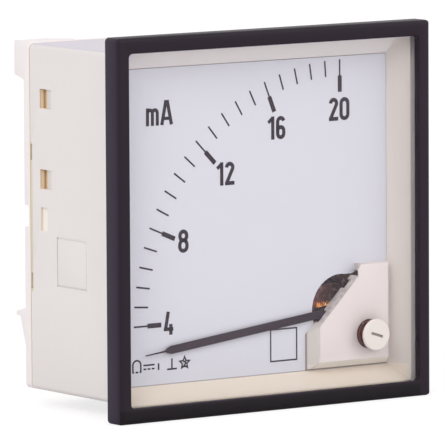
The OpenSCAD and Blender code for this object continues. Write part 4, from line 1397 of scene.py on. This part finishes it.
@dataclass
class Studio:
    """The floor, the white surroundings, the lamps and the camera."""

    surround: float = 0.76
    azimuth: float = -35.02
    elevation: float = 6.178
    roll: float = -0.32
    distance: float = 1.7434
    target: tuple[float, float, float] = (-0.012935, 0.0, -0.000022)
    lens: float = 565.6
    lamps: tuple[Lamp, ...] = (
        Lamp("key_lamp", (-1.3, -0.9, 1.1), (0.0, 0.0, 0.0), 0.9, 9.0),
        Lamp("fill_lamp", (0.9, -1.6, 0.9), (0.0, 0.0, 0.0), 1.2, 6.0),
    )

    def floor(self) -> None:
        """Lays a plain pale floor level with the meter's lowest edge."""
        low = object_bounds()[0][2]
        mesh = bpy.data.meshes.new("studio_floor")
        span = 4.0
        corners = [(-span, -span, low), (span, -span, low), (span, span, low), (-span, span, low)]
        mesh.from_pydata(corners, [], [(0, 1, 2, 3)])
        made = bpy.data.objects.new("studio_floor", mesh)
        bpy.context.scene.collection.objects.link(made)
        look = Recipe("floor_pale")
        look.set(Base_Color=(0.86, 0.85, 0.85, 1.0), Roughness=0.8, Specular_IOR_Level=0.0)
        white = {"Color": (1.0, 1.0, 1.0, 1.0), "Strength": 1.3}
        shine = look.node("ShaderNodeEmission", None, white)
        path = look.node("ShaderNodeLightPath")
        seen = Field(look, path.outputs["Is Camera Ray"]) * 0.55
        mixed = look.node("ShaderNodeMixShader", None,
                          {0: seen, 1: look.shader.outputs[0], 2: shine.outputs[0]})
        look.tree.links.new(mixed.outputs[0], look.output.inputs["Surface"])
        mesh.materials.append(look.material)
        made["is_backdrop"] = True

    def sky(self) -> None:
        """Fills the surroundings: white where seen or mirrored, softer where they only light."""
        world = bpy.data.worlds.new("studio_world")
        bpy.context.scene.world = world
        world.use_nodes = True
        tree = world.node_tree
        tree.nodes.clear()
        output = tree.nodes.new("ShaderNodeOutputWorld")
        lit = tree.nodes.new("ShaderNodeBackground")
        seen = tree.nodes.new("ShaderNodeBackground")
        path = tree.nodes.new("ShaderNodeLightPath")
        mixed = tree.nodes.new("ShaderNodeMixShader")
        lit.inputs["Color"].default_value = (1.0, 0.985, 0.985, 1.0)
        lit.inputs["Strength"].default_value = self.surround
        seen.inputs["Color"].default_value = (1.0, 1.0, 1.0, 1.0)
        seen.inputs["Strength"].default_value = 1.0
        gate = path.outputs["Is Camera Ray"]
        for ray in ("Is Transmission Ray", "Is Glossy Ray"):
            larger = tree.nodes.new("ShaderNodeMath")
            larger.operation = "MAXIMUM"
            tree.links.new(gate, larger.inputs[0])
            tree.links.new(path.outputs[ray], larger.inputs[1])
            gate = larger.outputs[0]
        tree.links.new(gate, mixed.inputs[0])
        tree.links.new(lit.outputs[0], mixed.inputs[1])
        tree.links.new(seen.outputs[0], mixed.inputs[2])
        tree.links.new(mixed.outputs[0], output.inputs["Surface"])

    def light(self) -> None:
        """Hangs the soft lamps."""
        for lamp in self.lamps:
            data = bpy.data.lights.new(lamp.name, "AREA")
            data.shape = "DISK"
            data.size = lamp.size
            data.energy = lamp.power
            item = bpy.data.objects.new(lamp.name, data)
            item.location = lamp.place
            toward = Vector(lamp.aim) - Vector(lamp.place)
            item.rotation_mode = "QUATERNION"
            item.rotation_quaternion = toward.to_track_quat("-Z", "Y")
            bpy.context.scene.collection.objects.link(item)

    def camera(self) -> None:
        """Sets the camera in front, to the left and slightly above the meter."""
        turn, rise = math.radians(self.azimuth), math.radians(self.elevation)
        level = math.cos(rise)
        back = Vector((math.sin(turn) * level, -math.cos(turn) * level, math.sin(rise)))
        data = bpy.data.cameras.new("studio_camera")
        data.sensor_width = 36.0
        data.lens = self.lens
        data.clip_start, data.clip_end = 0.05, 50.0
        item = bpy.data.objects.new("studio_camera", data)
        facing = (-back).to_track_quat("-Z", "Y").to_matrix().to_4x4()
        roll = Matrix.Rotation(math.radians(self.roll), 4, "Z")
        spot = Matrix.Translation(Vector(self.target) + back * self.distance)
        item.matrix_world = spot @ facing @ roll
        bpy.context.scene.collection.objects.link(item)
        bpy.context.scene.camera = item

    def build(self) -> None:
        """Builds the whole studio."""
        bpy.context.scene.view_settings.view_transform = "Standard"
        self.floor()
        self.sky()
        self.light()
        self.camera()


def main() -> None:
    """Builds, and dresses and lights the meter."""
    logging.basicConfig(level=logging.INFO, format="%(message)s")
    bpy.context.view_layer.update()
    wardrobe = Wardrobe(finishes(), dict(NODE_FINISH))
    wardrobe.dress()
    SoftEdges(dict(SOFT_WIDTHS)).build(wardrobe)
    StudThread().build(wardrobe)
    ChamferedNuts().build("stud_nuts", "inner_nuts", wardrobe)
    ChamferedNuts().build("wire_nuts", "outer_nuts", wardrobe)
    for piece in DialPrint().build(wardrobe.material("ink")):
        LOG.info("printed %s", piece.name)
    Studio().build()


if __name__ == "__main__":
    main()
